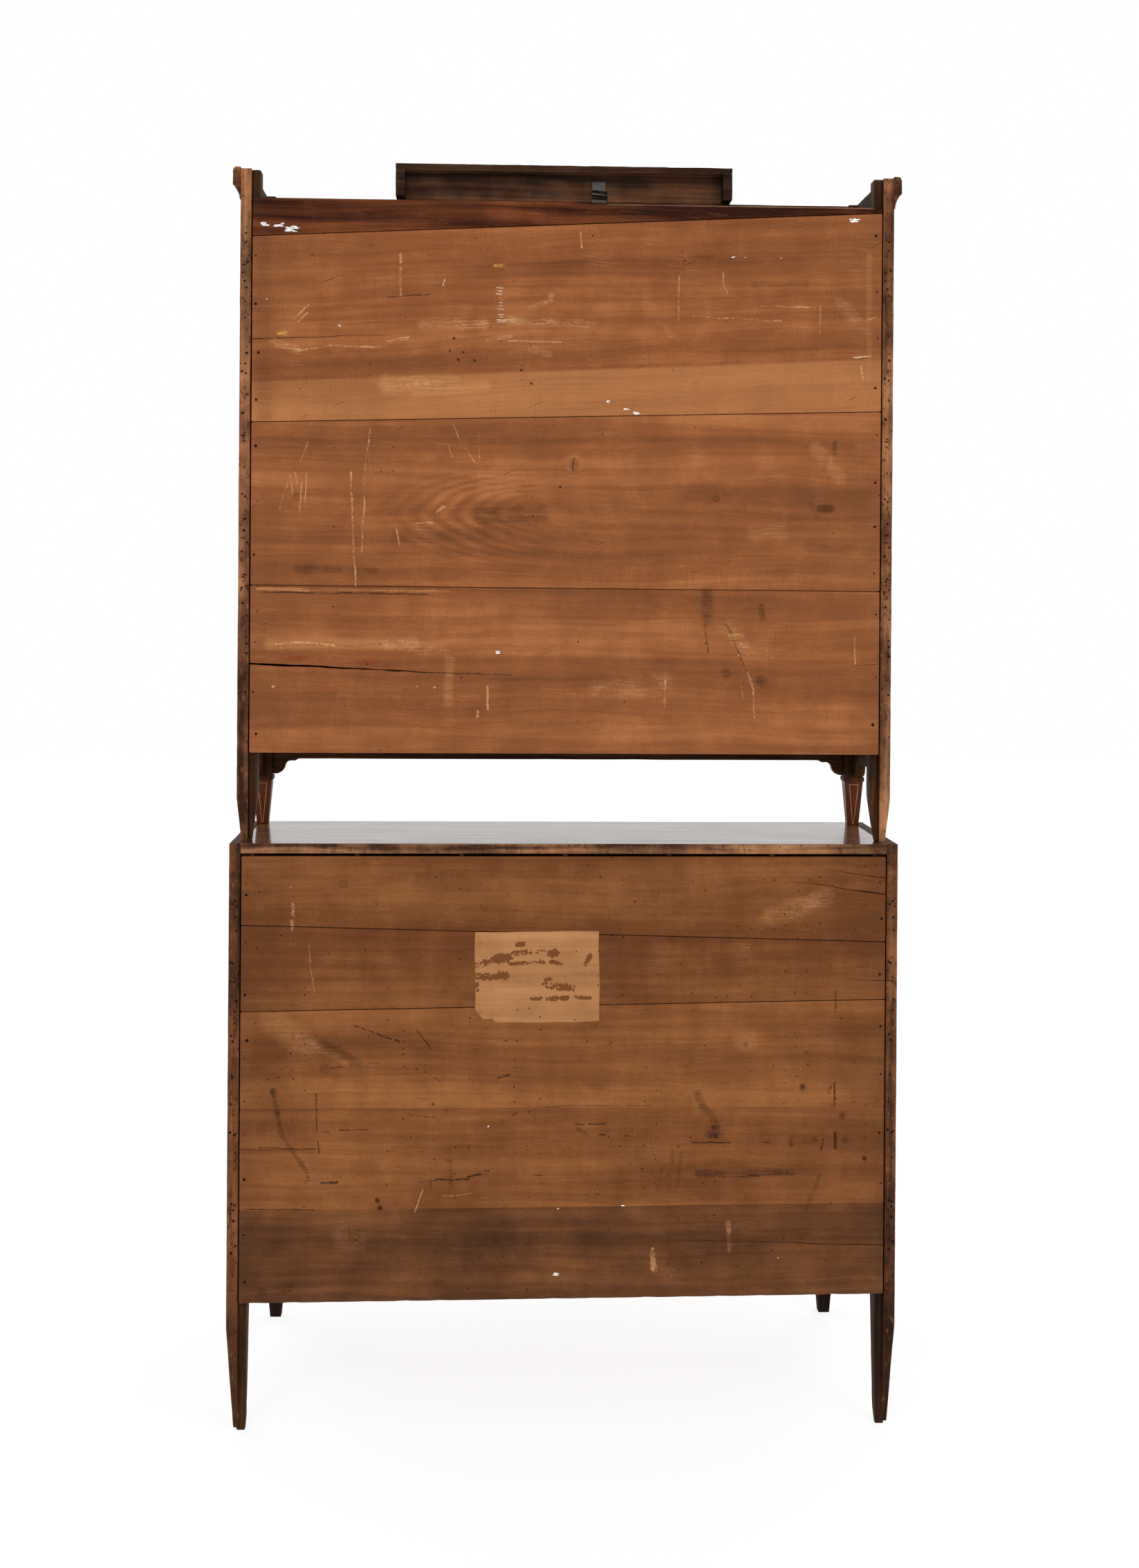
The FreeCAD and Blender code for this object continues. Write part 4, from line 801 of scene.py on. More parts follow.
IRON = Metal("iron", (42, 34, 26), (24, 18, 13), metallic=1.0, rough=0.6)
NAIL = Metal("forged_nail", (56, 47, 40), (28, 21, 16), metallic=1.0, rough=0.45)


def along(grain: Axis, *woods: Wood) -> list[bpy.types.Material]:
    """Materials of several woods with their fibres along one axis."""
    return [wood.material(grain) for wood in woods]


def put(name: str, mesh: bpy.types.Mesh, body: str, slot: str, *nodes: str) -> None:
    """Add a piece to the scene and let it ride on a body.

    Args:
        name: name of the piece.
        mesh: its mesh in the row frame, with materials.
        body: body that it moves with.
        slot: not used.
        nodes: CAD nodes that it stands for.
    """
    piece = bpy.data.objects.new(name, mesh)
    bpy.context.scene.collection.objects.link(piece)
    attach(piece, body)
    if nodes:
        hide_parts(*nodes)
    LOG.info("%s on %s: %d faces", name, body, len(mesh.polygons))


def to_mesh(name: str, shape: BMesh, *materials: bpy.types.Material,
            smooth_deg: float = 25.0) -> bpy.types.Mesh:
    """Turn a shape into a mesh.

    Args:
        name: name of the mesh.
        shape: the shape, which is freed.
        materials: its materials, in the order of their numbers.
        smooth_deg: angle between faces below which it looks smooth.

    Returns:
        The mesh.
    """
    mesh = bpy.data.meshes.new(name)
    shape.to_mesh(mesh)
    shape.free()
    for material in materials:
        mesh.materials.append(material)
    mesh.shade_smooth()
    mesh.set_sharp_from_angle(angle=math.radians(smooth_deg))
    return mesh


def take_in(whole: BMesh, shape: BMesh) -> None:
    """Add a shape to another one.

    Args:
        whole: shape that takes it in.
        shape: the shape, which is freed.
    """
    mesh = bpy.data.meshes.new("part")
    shape.to_mesh(mesh)
    shape.free()
    whole.from_mesh(mesh)
    bpy.data.meshes.remove(mesh)


def closed_solids(mesh: bpy.types.Mesh) -> list[list[list[Vector]]]:
    """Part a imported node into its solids.

    Args:
        mesh: loose triangles of the node.

    Returns:
        The triangles of each closed solid.
    """
    solids: list[list[list[Vector]]] = []
    current: list[list[Vector]] = []
    open_edges: set[tuple] = set()
    for polygon in mesh.polygons:
        corners = [mesh.vertices[index].co.copy() for index in polygon.vertices]
        keys = [tuple(round(value * 1e6) for value in corner) for corner in corners]
        current.append(corners)
        for edge in zip(keys, keys[1:] + keys[:1]):
            if edge[::-1] in open_edges:
                open_edges.discard(edge[::-1])
            else:
                open_edges.add(edge)
        if not open_edges:
            solids.append(current)
            current = []
    if current:
        solids.append(current)
    return solids


@dataclass
class WornCopy:
    """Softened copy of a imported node: merged, with eased and slightly uneven edges."""

    node: str
    materials: Sequence[bpy.types.Material]
    choose: Chooser = lambda solid, normal, middle: 0
    slot: str = "walnut"
    ease: float = 0.0012
    wobble: float = 0.0004
    spacing: float = 0.03
    smooth_deg: float = 18.0
    merge: float = 1e-5
    level: bool = False
    push: Callable[[Vector], Vector] | None = None
    turned: int = 900
    flat_deg: float = 0.5
    sharp_deg: float = 28.0
    broad: float = 35.0
    fine: float = 160.0
    fine_share: float = 0.7

    def build(self) -> None:
        """Make the copy and let it stand for its node."""
        source = frame["nodes"][self.node]
        whole = bmesh.new()
        for index, triangles in enumerate(closed_solids(source.data)):
            shape = self.soften(triangles)
            for face in shape.faces:
                face.material_index = self.choose(index, face.normal, face.calc_center_median())
            take_in(whole, shape)
        mesh = to_mesh(self.node + "_worn", whole, *self.materials, smooth_deg=self.smooth_deg)
        put(self.node + "_worn", mesh, source["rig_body"], self.slot, self.node)

    def soften(self, triangles: list[list[Vector]]) -> BMesh:
        """Merge one solid's triangles, ease its edges and make them uneven.

        Args:
            triangles: corners of each triangle; a solid with very many of them is turned and isn't eased.

        Returns:
            The softened shape.
        """
        shape = bmesh.new()
        for corners in triangles:
            shape.faces.new([shape.verts.new(corner) for corner in corners])
        bmesh.ops.remove_doubles(shape, verts=shape.verts, dist=self.merge)
        bmesh.ops.dissolve_degenerate(shape, edges=shape.edges, dist=self.merge)
        if self.ease > 0 and len(triangles) < self.turned:
            bmesh.ops.dissolve_limit(shape, angle_limit=math.radians(self.flat_deg), verts=shape.verts,
                                     edges=shape.edges)
            for edge in self.sharp(shape):
                cuts = int(edge.calc_length() / self.spacing)
                if cuts:
                    bmesh.ops.subdivide_edges(shape, edges=[edge], cuts=cuts)
            bmesh.ops.bevel(shape, geom=self.sharp(shape), offset=self.ease, segments=2, profile=0.5,
                            affect="EDGES", clamp_overlap=True)
        for vertex in shape.verts if self.ease > 0 else ():
            broad = noise.noise_vector(vertex.co * self.broad)
            fine = noise.noise_vector(vertex.co * self.fine)
            away = (broad + fine * self.fine_share) * self.wobble
            vertex.co += Vector((away.x, away.y, 0.0)) if self.level else away
        for vertex in shape.verts if self.push else ():
            vertex.co += self.push(vertex.co)
        shape.normal_update()
        return shape

    def sharp(self, shape: BMesh) -> list[bmesh.types.BMEdge]:
        """Edges between two faces that meet at an angle."""
        limit = math.radians(self.sharp_deg)
        return [e for e in shape.edges if len(e.link_faces) == 2 and e.calc_face_angle(0.0) > limit]


def rear_faces(solid: int, normal: Vector, middle: Vector) -> int:
    """Second material on the faces that look to the rear."""
    return 1 if normal.y > FACING else 0


def front_faces(solid: int, normal: Vector, middle: Vector) -> int:
    """Second material on the faces that look to the front."""
    return 1 if normal.y < -FACING else 0


# Each caller sets the finishes; on the cornice they are painted shade, elsewhere bare or worn wood.
def bare_and_shaded_faces(solid: int, normal: Vector, middle: Vector) -> int:
    """Second material on the rear faces, third on those that look inwards or up."""
    inner = normal.x * middle.x < INWARD or normal.z > FACING
    return 1 if normal.y > FACING else 2 if inner else 0


def brass_fittings(node: str) -> None:
    """Dress hinges, knobs or key plates, which keep their edges as they are."""
    WornCopy(node, [BRASS.material()], slot="brass", ease=0.0, smooth_deg=30.0).build()


@cache
def scatter_tree() -> bpy.types.NodeTree:
    """Geometry tree for nail heads and holes.

    Returns:
        A tree that sets a low round head on every vertex, facing the rear.
    """
    sockets = (("Geometry", "Geometry"), ("Radius", "Float"), ("Rise", "Float"), ("Crown", "Float"),
               ("Spread", "Float"), ("Finish", "Material"))
    tree, graph, given = new_tree("heads", "GeometryNodeTree", sockets, sockets[0])
    head = graph.add("GeometryNodeMeshCone", {
        "Vertices": HEAD_SIDES, "Depth": given["Rise"], "Radius Bottom": given["Radius"],
        "Radius Top": graph.math("MULTIPLY", given["Radius"], given["Crown"])})
    size = graph.add("FunctionNodeRandomValue", data_type="FLOAT", inputs={
        2: graph.math("SUBTRACT", 1.0, given["Spread"]), 3: graph.math("ADD", 1.0, given["Spread"]),
        "Seed": HEAD_SEED})
    place = graph.add("GeometryNodeInstanceOnPoints", {
        "Points": given["Geometry"], "Instance": head.outputs["Mesh"],
        "Rotation": (-math.pi / 2, 0.0, 0.0), "Scale": size.outputs[1]})
    finish_geometry(graph, place.outputs[0], given["Finish"])
    return tree


@cache
def sweep_tree() -> bpy.types.NodeTree:
    """Geometry tree for light lines and wire.

    Returns:
        A tree that runs a round line along every edge path.
    """
    sockets = (("Geometry", "Geometry"), ("Radius", "Float"), ("Finish", "Material"))
    tree, graph, given = new_tree("lines", "GeometryNodeTree", sockets, sockets[0])
    path = graph.add("GeometryNodeMeshToCurve", {"Mesh": given["Geometry"]})
    ring = graph.add("GeometryNodeCurvePrimitiveCircle", {
        "Resolution": LINE_SIDES, "Radius": given["Radius"]})
    sweep = graph.add("GeometryNodeCurveToMesh", {
        "Curve": path.outputs[0], "Profile Curve": ring.outputs["Curve"], "Fill Caps": True})
    finish_geometry(graph, sweep.outputs[0], given["Finish"])
    return tree


def finish_geometry(graph: Graph, grown_shape: Any, material: Any) -> None:
    """End a geometry tree with real geometry and its material.

    Args:
        graph: builder of the tree.
        grown_shape: socket with the geometry so far.
        material: socket with the material.
    """
    real = graph.add("GeometryNodeRealizeInstances", {"Geometry": grown_shape})
    dressed = graph.add("GeometryNodeSetMaterial", {"Geometry": real.outputs[0], "Material": material})
    graph.add("NodeGroupOutput", {0: dressed.outputs[0]})


def grown(name: str, points: Sequence[Vector], edges: Sequence[tuple[int, int]], tree: bpy.types.NodeTree,
          body: str, slot: str, **values: Any) -> None:
    """Run a geometry tree on points and edges and keep the result as a plain mesh.

    Args:
        name: name of the piece.
        points: places in the row frame.
        edges: pairs of points that are joined.
        tree: geometry tree.
        body: body that the piece rides on.
        slot: material slot of the record.
        values: inputs of the tree by name.
    """
    seedling = bpy.data.meshes.new(name + "_points")
    seedling.from_pydata([tuple(point) for point in points], list(edges), [])
    carrier = bpy.data.objects.new(name + "_points", seedling)
    modifier = carrier.modifiers.new("grow", "NODES")
    modifier.node_group = tree
    for item in tree.interface.items_tree:
        if item.in_out == "INPUT" and item.name in values:
            modifier[item.identifier] = values[item.name]
    bpy.context.scene.collection.objects.link(carrier)
    graph = bpy.context.evaluated_depsgraph_get()
    mesh = bpy.data.meshes.new_from_object(carrier.evaluated_get(graph))
    mesh.name = name
    bpy.data.objects.remove(carrier)
    mesh.shade_smooth()
    mesh.set_sharp_from_angle(angle=math.radians(GROWN_SMOOTH_DEG))
    put(name, mesh, body, slot)


def closed_paths(loops: Sequence[Sequence[Vector]]) -> tuple[list[Vector], list[tuple[int, int]]]:
    """Join closed paths into one set of points and edges.

    Args:
        loops: points of each path in order.

    Returns:
        All points, and the pairs of them that are joined.
    """
    points: list[Vector] = []
    edges: list[tuple[int, int]] = []
    for loop in loops:
        first = len(points)
        points.extend(loop)
        edges.extend((first + i, first + (i + 1) % len(loop)) for i in range(len(loop)))
    return points, edges


def band(shape: BMesh, first: Sequence[bmesh.types.BMVert],
         second: Sequence[bmesh.types.BMVert]) -> list[bmesh.types.BMFace]:
    """Join two rings by a band of faces.

    Args:
        shape: shape that takes the faces.
        first: vertices of one ring in order.
        second: vertices of the other ring.

    Returns:
        The new faces.
    """
    count = len(first)
    corners = ((first[i], first[(i + 1) % count], second[(i + 1) % count], second[i]) for i in range(count))
    return [shape.faces.new(four) for four in corners]


def fill(shape: BMesh, ring: Sequence[bmesh.types.BMVert]) -> None:
    """Close an upright ring of any outline with triangles.

    Args:
        shape: shape that takes the triangles.
        ring: its vertices in order.
    """
    flat = [Vector((vertex.co.x, vertex.co.z)) for vertex in ring]
    made = geometry.delaunay_2d_cdt(flat, [], [list(range(len(flat)))], 1, 1e-7)
    for face in made[2]:
        shape.faces.new([ring[made[3][index][0]] for index in face])


@dataclass
class BackBoards:
    """Nailed back boards of one case, with cracks, stains, scrapes and nails."""

    prefix: str
    woods: Sequence[Wood]
    slot: str
    marks: Sequence[Mark]
    knots: Sequence[Knot]
    cracks: Sequence[Crack]
    hearts: dict[int, tuple[Pixel, float]]
    seed: int
    ease: float = 0.0004
    step: float = 0.011
    waver: float = 0.0003
    corner: float = 0.0015
    nail_inset: float = 0.005
    tongue: tuple[float, float, float] = (0.004, 0.003, 0.004)
    steps: dict[int, tuple[float, float]] = field(default_factory=dict)
    tilts: dict[int, float] = field(default_factory=dict)
    zones: dict[int, Zone] = field(default_factory=dict)
    ragged_foot: float = 0.0
    seam: float = 0.0014
    tight: Sequence[int] = ()
    crack_step: float = 0.012
    crack_stray: float = 0.0022
    crack_room: float = 0.002
    crack_edge: float = 0.006
    nail_gap: float = 0.085
    nail_stray: float = 0.012
    nail_edge: float = 0.008
    nail_drift: float = 0.007
    nail_rise: float = 0.0006
    nails: list[Vector] = field(default_factory=list)

    def build(self) -> None:
        """Make every board and its nails."""
        for number, wood in enumerate(self.woods, start=1):
            self.board(number, wood)
        tree = scatter_tree()
        grown(self.prefix + "_nail_stains", self.nails, [], tree, CASE, self.slot, Radius=0.0019,
              Rise=0.0005, Crown=0.6, Spread=0.5, Finish=HOLE.material(Axis.X))
        grown(self.prefix + "_nails", self.nails, [], tree, CASE, "iron", Radius=0.0015, Rise=0.0018,
              Crown=0.45, Spread=0.4, Finish=NAIL.material())

    def board(self, number: int, wood: Wood) -> None:
        """Make one board with its own outline and finish.

        Args:
            number: its number, from the bottom up.
            wood: its wood.
        """
        node = "%s_%d" % (self.prefix, number)
        low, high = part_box(node)
        points = [vertex.co for vertex in frame["nodes"][node].data.vertices]
        ends = {}
        for side, edge in ((1, high.x), (-1, low.x)):
            heights = [p.z for p in points if abs(p.x - edge) < 1e-5]
            ends[side] = (min(heights), max(heights))
        outline = self.outline(number, high.x, ends, high.y)
        shape = self.solid(outline, low.y, high.y)
        if number > 1:
            self.add_tongue(shape, high.x, low.y, ends)
        name = node + "_worn"
        heart = None
        if number in self.hearts:
            pixel, slope = self.hearts[number]
            heart = (*CAMERA.on_plane(pixel, high.y), slope)
        marks = [m for m in self.marks if self.touches(m.start, m.end, m.width, low, high)]
        knots = [k for k in self.knots if self.touches(k.spot, k.spot, 4 * k.reach[1], low, high)]
        shift = (3.7 * number + self.seed, 1.9 * number, 0.0)
        material = wood.dress(name, Axis.X, shift, heart, high.y, self.tilts.get(number, 0.0), marks, knots,
                              self.zones.get(number))
        mesh = to_mesh(name, shape, material, wood.material(Axis.X))
        put(name, mesh, CASE, self.slot, node)
        self.nail_down(number, ends, high)

    @staticmethod
    def touches(start: Pixel, end: Pixel, width: float, low: Vector, high: Vector) -> bool:
        """Whether a mark reaches into a board's box.

        Args:
            start: pixel at one end.
            end: pixel at the other end.
            width: width in pixels.
            low: lowest corner of the box.
            high: highest corner of the box.

        Returns:
            True where it does.
        """
        reach = width / 2 * CAMERA.pixel_size(high.y)
        heights = [CAMERA.on_plane(pixel, high.y)[1] for pixel in (start, end)]
        return max(heights) + reach > low.z and min(heights) - reach < high.z

    def waver_at(self, place: float, row: float) -> float:
        """Small unevenness of an edge.

        Args:
            place: place along the edge.
            row: number that sets this edge apart.

        Returns:
            How far the edge steps in.
        """
        value = noise.noise(Vector((place * 9, row, self.seed)))
        chip = max(0.0, noise.noise(Vector((place * 45, row, self.seed + 5))) - 0.35)
        return self.waver * (0.5 + 0.5 * value + 1.6 * chip)

    def outline(self, number: int, half: float, ends: Ends, depth: float) -> list[Vector]:
        """Outline of a board with worn corners and cracks from its ends.

        Args:
            number: number of the board.
            half: half its length.
            ends: heights of its lower and upper edge at both ends.
            depth: Y of its rear face.

        Returns:
            Points in X and Z, in order.
        """
        found: list[Vector] = []
        for side in (1, -1):
            low, high = ends[side]
            runs = self.notches(side, low, high, half, depth)
            spans = [sorted((notch[0].y, notch[-1].y)) for notch in runs]
            for z in self.ladder(low + self.corner, high - self.corner):
                if not any(bottom - self.crack_room < z < top + self.crack_room for bottom, top in spans):
                    runs.append([Vector((side * (half - self.waver_at(z, side + number)), z))])
            for run in sorted(runs, key=lambda points: side * points[0].y):
                found.extend(run)
            found.extend(self.long_edge(side, ends, half, number))
        return found

    def ladder(self, low: float, high: float) -> list[float]:
        """Even steps between two heights."""
        count = max(2, int((high - low) / self.step))
        return [low + (high - low) * i / count for i in range(count + 1)]

    def long_edge(self, side: int, ends: Ends, half: float, number: int) -> list[Vector]:
        """Upper edge of a board, or the lower edge back.

        Args:
            side: 1 for the upper edge, -1 for the lower one.
            ends: heights of its lower and upper edge at both ends.
            half: half its length.
            number: number of the board.

        Returns:
            Points in X and Z, in order.
        """
        row = 1 if side == 1 else 0
        first, last = ends[side][row], ends[-side][row]
        count = int(2 * half / self.step)
        points = []
        for i in range(count + 1):
            share = i / count
            x = side * (half - self.corner) * (1 - 2 * share)
            z = first + (last - first) * (half - side * x) / (2 * half)
            cut = self.waver_at(x, 10 * number + row)
            if row == 1 and number in self.steps and x < self.steps[number][0]:
                cut += self.steps[number][1]
            if row == 1 and number in self.tight:
                cut = -self.seam
            if row == 0 and number - 1 in self.tight:
                cut = 0.0
            if row == 0 and number == 1:
                cut += self.ragged_foot * max(0.0, noise.noise(Vector((x * 30, 7.0, self.seed))))
            points.append(Vector((x, z - side * cut)))
        return points

    def notches(self, side: int, low: float, high: float, half: float, depth: float) -> list[list[Vector]]:
        """Lips of each crack that starts on one end of a board.

        Args:
            side: sign of X at that end.
            low: height of the lower edge there.
            high: height of the upper edge there.
            half: half the board's length.
            depth: Y of its rear face.

        Returns:
            Points of each crack in X and Z.
        """
        made = []
        for order, crack in enumerate(self.cracks):
            begin = Vector(CAMERA.on_plane(crack.start, depth))
            tip = Vector(CAMERA.on_plane(crack.end, depth))
            if side * begin.x < 0 or not low + self.crack_edge < begin.y < high - self.crack_edge:
                continue
            begin.x = side * half
            count = max(4, int(abs(begin.x - tip.x) / self.crack_step))
            lower, upper = [], []
            for i in range(count + 1):
                share = i / count
                middle = begin.lerp(tip, share)
                sway = self.crack_stray * noise.noise(Vector((middle.x * 14, order * 3.1, self.seed)))
                middle.y += sway * min(1, 4 * share)
                ragged = 0.75 + 0.5 * noise.noise(Vector((middle.x * 40, order * 1.7, self.seed)))
                gap = crack.opening * (1 - share) ** 0.6 * ragged / 2
                lower.append(Vector((middle.x, middle.y - gap)))
                upper.append(Vector((middle.x, middle.y + gap)))
            lips = lower + upper[::-1][1:]
            made.append(lips if side == 1 else lips[::-1])
        return made

    def solid(self, outline: list[Vector], front: float, rear: float) -> BMesh:
        """Board from its outline, with an eased edge round the rear face.

        Args:
            outline: points in X and Z.
            front: Y of the inner face.
            rear: Y of the rear face.

        Returns:
            The closed shape.
        """
        count = len(outline)
        inner = []
        for i, point in enumerate(outline):
            before = (point - outline[i - 1]).normalized()
            after = (outline[(i + 1) % count] - point).normalized()
            turn = Vector((-(before.y + after.y), before.x + after.x))
            inner.append(point + (turn.normalized() if turn.length > 0.5 else before) * self.ease)
        shape = bmesh.new()
        rings = [
            [shape.verts.new((p.x, y, p.y)) for p in ring]
            for ring, y in ((outline, front), (outline, rear - self.ease), (inner, rear))
        ]
        for first, second in zip(rings, rings[1:]):
            band(shape, first, second)
        fill(shape, rings[0])
        fill(shape, rings[2])
        bmesh.ops.recalc_face_normals(shape, faces=shape.faces)
        for face in shape.faces:
            face.material_index = front_faces(0, face.normal, face.calc_center_median())
        return shape

    def add_tongue(self, shape: BMesh, half: float, front: float, ends: Ends) -> None:
        """Set a loose tongue into the seam below a board, so that no light comes through.

        Args:
            shape: the board.
            half: half its length.
            front: Y of its inner face.
            ends: heights of its lower and upper edge at both ends.
        """
        inset, rise, thick = self.tongue
        tips = []
        for side in (1, -1):
            x, z = side * (half - inset), ends[side][0]
            tips.append([shape.verts.new((x, y, z + up)) for y, up in (
                (front + inset, -rise), (front + inset + thick, -rise), (front + inset + thick, rise),
                (front + inset, rise))])
        faces = [shape.faces.new(tips[0][::-1]), shape.faces.new(tips[1]), *band(shape, *tips)]
        bmesh.ops.recalc_face_normals(shape, faces=faces)
        for face in faces:
            face.material_index = 1

    def nail_down(self, number: int, ends: Ends, high: Vector) -> None:
        """Choose places for the nails at both ends of a board.

        Args:
            number: number of the board.
            ends: heights of its lower and upper edge at both ends.
            high: highest corner of its box.
        """
        chance = random.Random(self.seed * 100 + number)
        for side in (1, -1):
            low, top = ends[side]
            count = max(1, round((top - low) / self.nail_gap))
            for i in range(count):
                z = low + (top - low) * (i + 0.5) / count
                z += chance.uniform(-self.nail_stray, self.nail_stray)
                z = min(max(z, low + self.nail_edge), top - self.nail_edge)
                x = side * (high.x - self.nail_inset - chance.uniform(0.0, self.nail_drift))
                self.nails.append(Vector((x, high.y + self.nail_rise, z)))


@dataclass
class Stage:
    """Pale floor, white surroundings and soft studio light."""

    world_light: float = 0.62
    floor_half: float = 14.0
    floor_bounce: float = 0.78
    shadow: tuple[float, float] = (0.24, 0.04)
    shadow_reach: tuple[float, float] = (0.9, 3.2)
    shadow_ragged: float = 0.3
    glow: tuple[float, float] = (-0.92, 1.03)
    aim: tuple[float, float, float] = (0.0, 0.0, 1.1)
    lamps: Sequence[tuple[tuple[float, float, float], float, float]] = (
        ((1.9, 4.6, 3.2), 2.6, 95.0),
        ((-2.6, 3.6, 2.4), 2.4, 55.0),
        ((-2.4, -4.2, 3.2), 2.8, 95.0),
        ((2.8, -3.4, 2.2), 2.4, 50.0),
    )

    def build(self) -> None:
        """Make the floor, the world and the lamps."""
        bpy.context.scene.view_settings.view_transform = "Standard"
        self.surroundings()
        self.floor()
        for number, (place, size, power) in enumerate(self.lamps, start=1):
            data = bpy.data.lights.new("soft_lamp_%d" % number, "AREA")
            data.size = size
            data.energy = power
            lamp = bpy.data.objects.new("soft_lamp_%d" % number, data)
            lamp.location = place
            lamp.visible_glossy = False
            aim = Vector(self.aim) - Vector(place)
            lamp.rotation_euler = aim.to_track_quat("-Z", "Y").to_euler()
            bpy.context.scene.collection.objects.link(lamp)

    @staticmethod
    def seen(graph: Graph) -> Any:
        """Find the rays that show the surroundings.

        Args:
            graph: tree to add to.

        Returns:
            1 for a ray that shows them, straight or mirrored.
        """
        path = graph.add("ShaderNodeLightPath").outputs
        mirrored = graph.math("ADD", path["Is Glossy Ray"], path["Is Transmission Ray"])
        return graph.math("ADD", path["Is Camera Ray"], mirrored, clamp=True)

    def surroundings(self) -> None:
        """White world that lights the object at a plain level."""
        world = bpy.data.worlds.new("white_room")
        world.use_nodes = True
        world.node_tree.nodes.clear()
        graph = Graph(world.node_tree)
        strength = graph.math("MULTIPLY_ADD", self.seen(graph), 1.0 - self.world_light, self.world_light)
        backdrop = graph.add("ShaderNodeBackground", {"Color": (1.0, 1.0, 1.0, 1.0), "Strength": strength})
        graph.add("ShaderNodeOutputWorld", {"Surface": backdrop.outputs[0]})
        bpy.context.scene.world = world

    def floor(self) -> None:
        """White floor that keeps a faint shadow."""
        material, graph = new_material("white_floor")
        place = graph.add("ShaderNodeTexCoord").outputs["Object"]
        ragged = graph.grain(place, (1.5, 1.5, 1.5), 3.0)
        away = graph.math("MULTIPLY_ADD", ragged, self.shadow_ragged, graph.vector("LENGTH", place))
        cloud = graph.remap(away, *self.shadow_reach, *self.shadow)
        shade = graph.add("ShaderNodeBsdfDiffuse", {"Color": graph.join(cloud, cloud, cloud)})
        glow = graph.add("ShaderNodeEmission", {"Strength": graph.math("MULTIPLY_ADD", cloud, *self.glow)})
        shown = graph.add("ShaderNodeAddShader", {0: shade.outputs[0], 1: glow.outputs[0]})
        bounce = graph.add("ShaderNodeBsdfDiffuse", {"Color": (*[self.floor_bounce] * 3, 1.0)})
        choice = graph.add("ShaderNodeMixShader", {0: self.seen(graph), 1: bounce.outputs[0],
                                                   2: shown.outputs[0]})
        graph.add("ShaderNodeOutputMaterial", {"Surface": choice.outputs[0]})
        half = self.floor_half
        mesh = bpy.data.meshes.new("floor")
        corners = [(-half, -half, 0), (half, -half, 0), (half, half, 0), (-half, half, 0)]
        mesh.from_pydata(corners, [], [(0, 1, 2, 3)])
        mesh.materials.append(material)
        floor = bpy.data.objects.new("floor", mesh)
        bpy.context.scene.collection.objects.link(floor)


def turned_from(first: int) -> Chooser:
    """Second material on every solid from a number on."""
    return lambda solid, normal, middle: 1 if solid >= first else 0


def rectangle(x_low: float, x_high: float, z_low: float, z_high: float, y: float) -> list[Vector]:
    """Closed upright path."""
    return [Vector((x_low, y, z_low)), Vector((x_high, y, z_low)), Vector((x_high, y, z_high)),
            Vector((x_low, y, z_high))]


@dataclass(frozen=True)
class Stringing:
    """Light lines let into veneer."""

    radius: float = 0.0010
    sunk: float = 0.0005

    def lay(self, name: str, body: str, loops: Sequence[Sequence[Vector]]) -> None:
        """Lay closed lines on a body."""
        points, edges = closed_paths(loops)
        grown(name, points, edges, sweep_tree(), body, "walnut", Radius=self.radius,
              Finish=STRING.material(Axis.X))

    def on_front(self, node: str, margin: float) -> list[Vector]:
        """Path a margin inside the front face of an upright node."""
        low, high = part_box(node)
        return rectangle(low.x + margin, high.x - margin, low.z + margin, high.z - margin,
                         low.y + self.sunk)


STRINGING = Stringing()


@dataclass(frozen=True)
class TaperFoot:
    """Square tapered feet, one on each side, with a light line on their faces."""

    x: float
    y: float
    low: float
    high: float
    low_width: float
    high_width: float
    low_inset: float = 0.0045
    high_inset: float = 0.0045
    low_share: float = 0.12
    high_share: float = 0.93
    all_round: bool = False

    def loops(self) -> list[list[Vector]]:
        """Lay out the line on each face that shows.

        Returns:
            The closed paths.
        """
        paths = []
        for side in (1, -1):
            for turn in range(4) if self.all_round else (1 - side, 3):
                out = Vector((math.cos(turn * math.pi / 2), math.sin(turn * math.pi / 2), 0.0))
                sideways = Vector((-out.y, out.x, 0.0))
                path = []
                low, high = (self.low_share, self.low_inset), (self.high_share, self.high_inset)
                for (share, inset), way in ((low, -1), (low, 1), (high, 1), (high, -1)):
                    half = (self.low_width + (self.high_width - self.low_width) * share) / 2
                    middle = Vector((side * self.x, self.y, self.low + (self.high - self.low) * share))
                    path.append(middle + out * (half - STRINGING.sunk) + sideways * way * (half - inset))
                paths.append(path)
        return paths


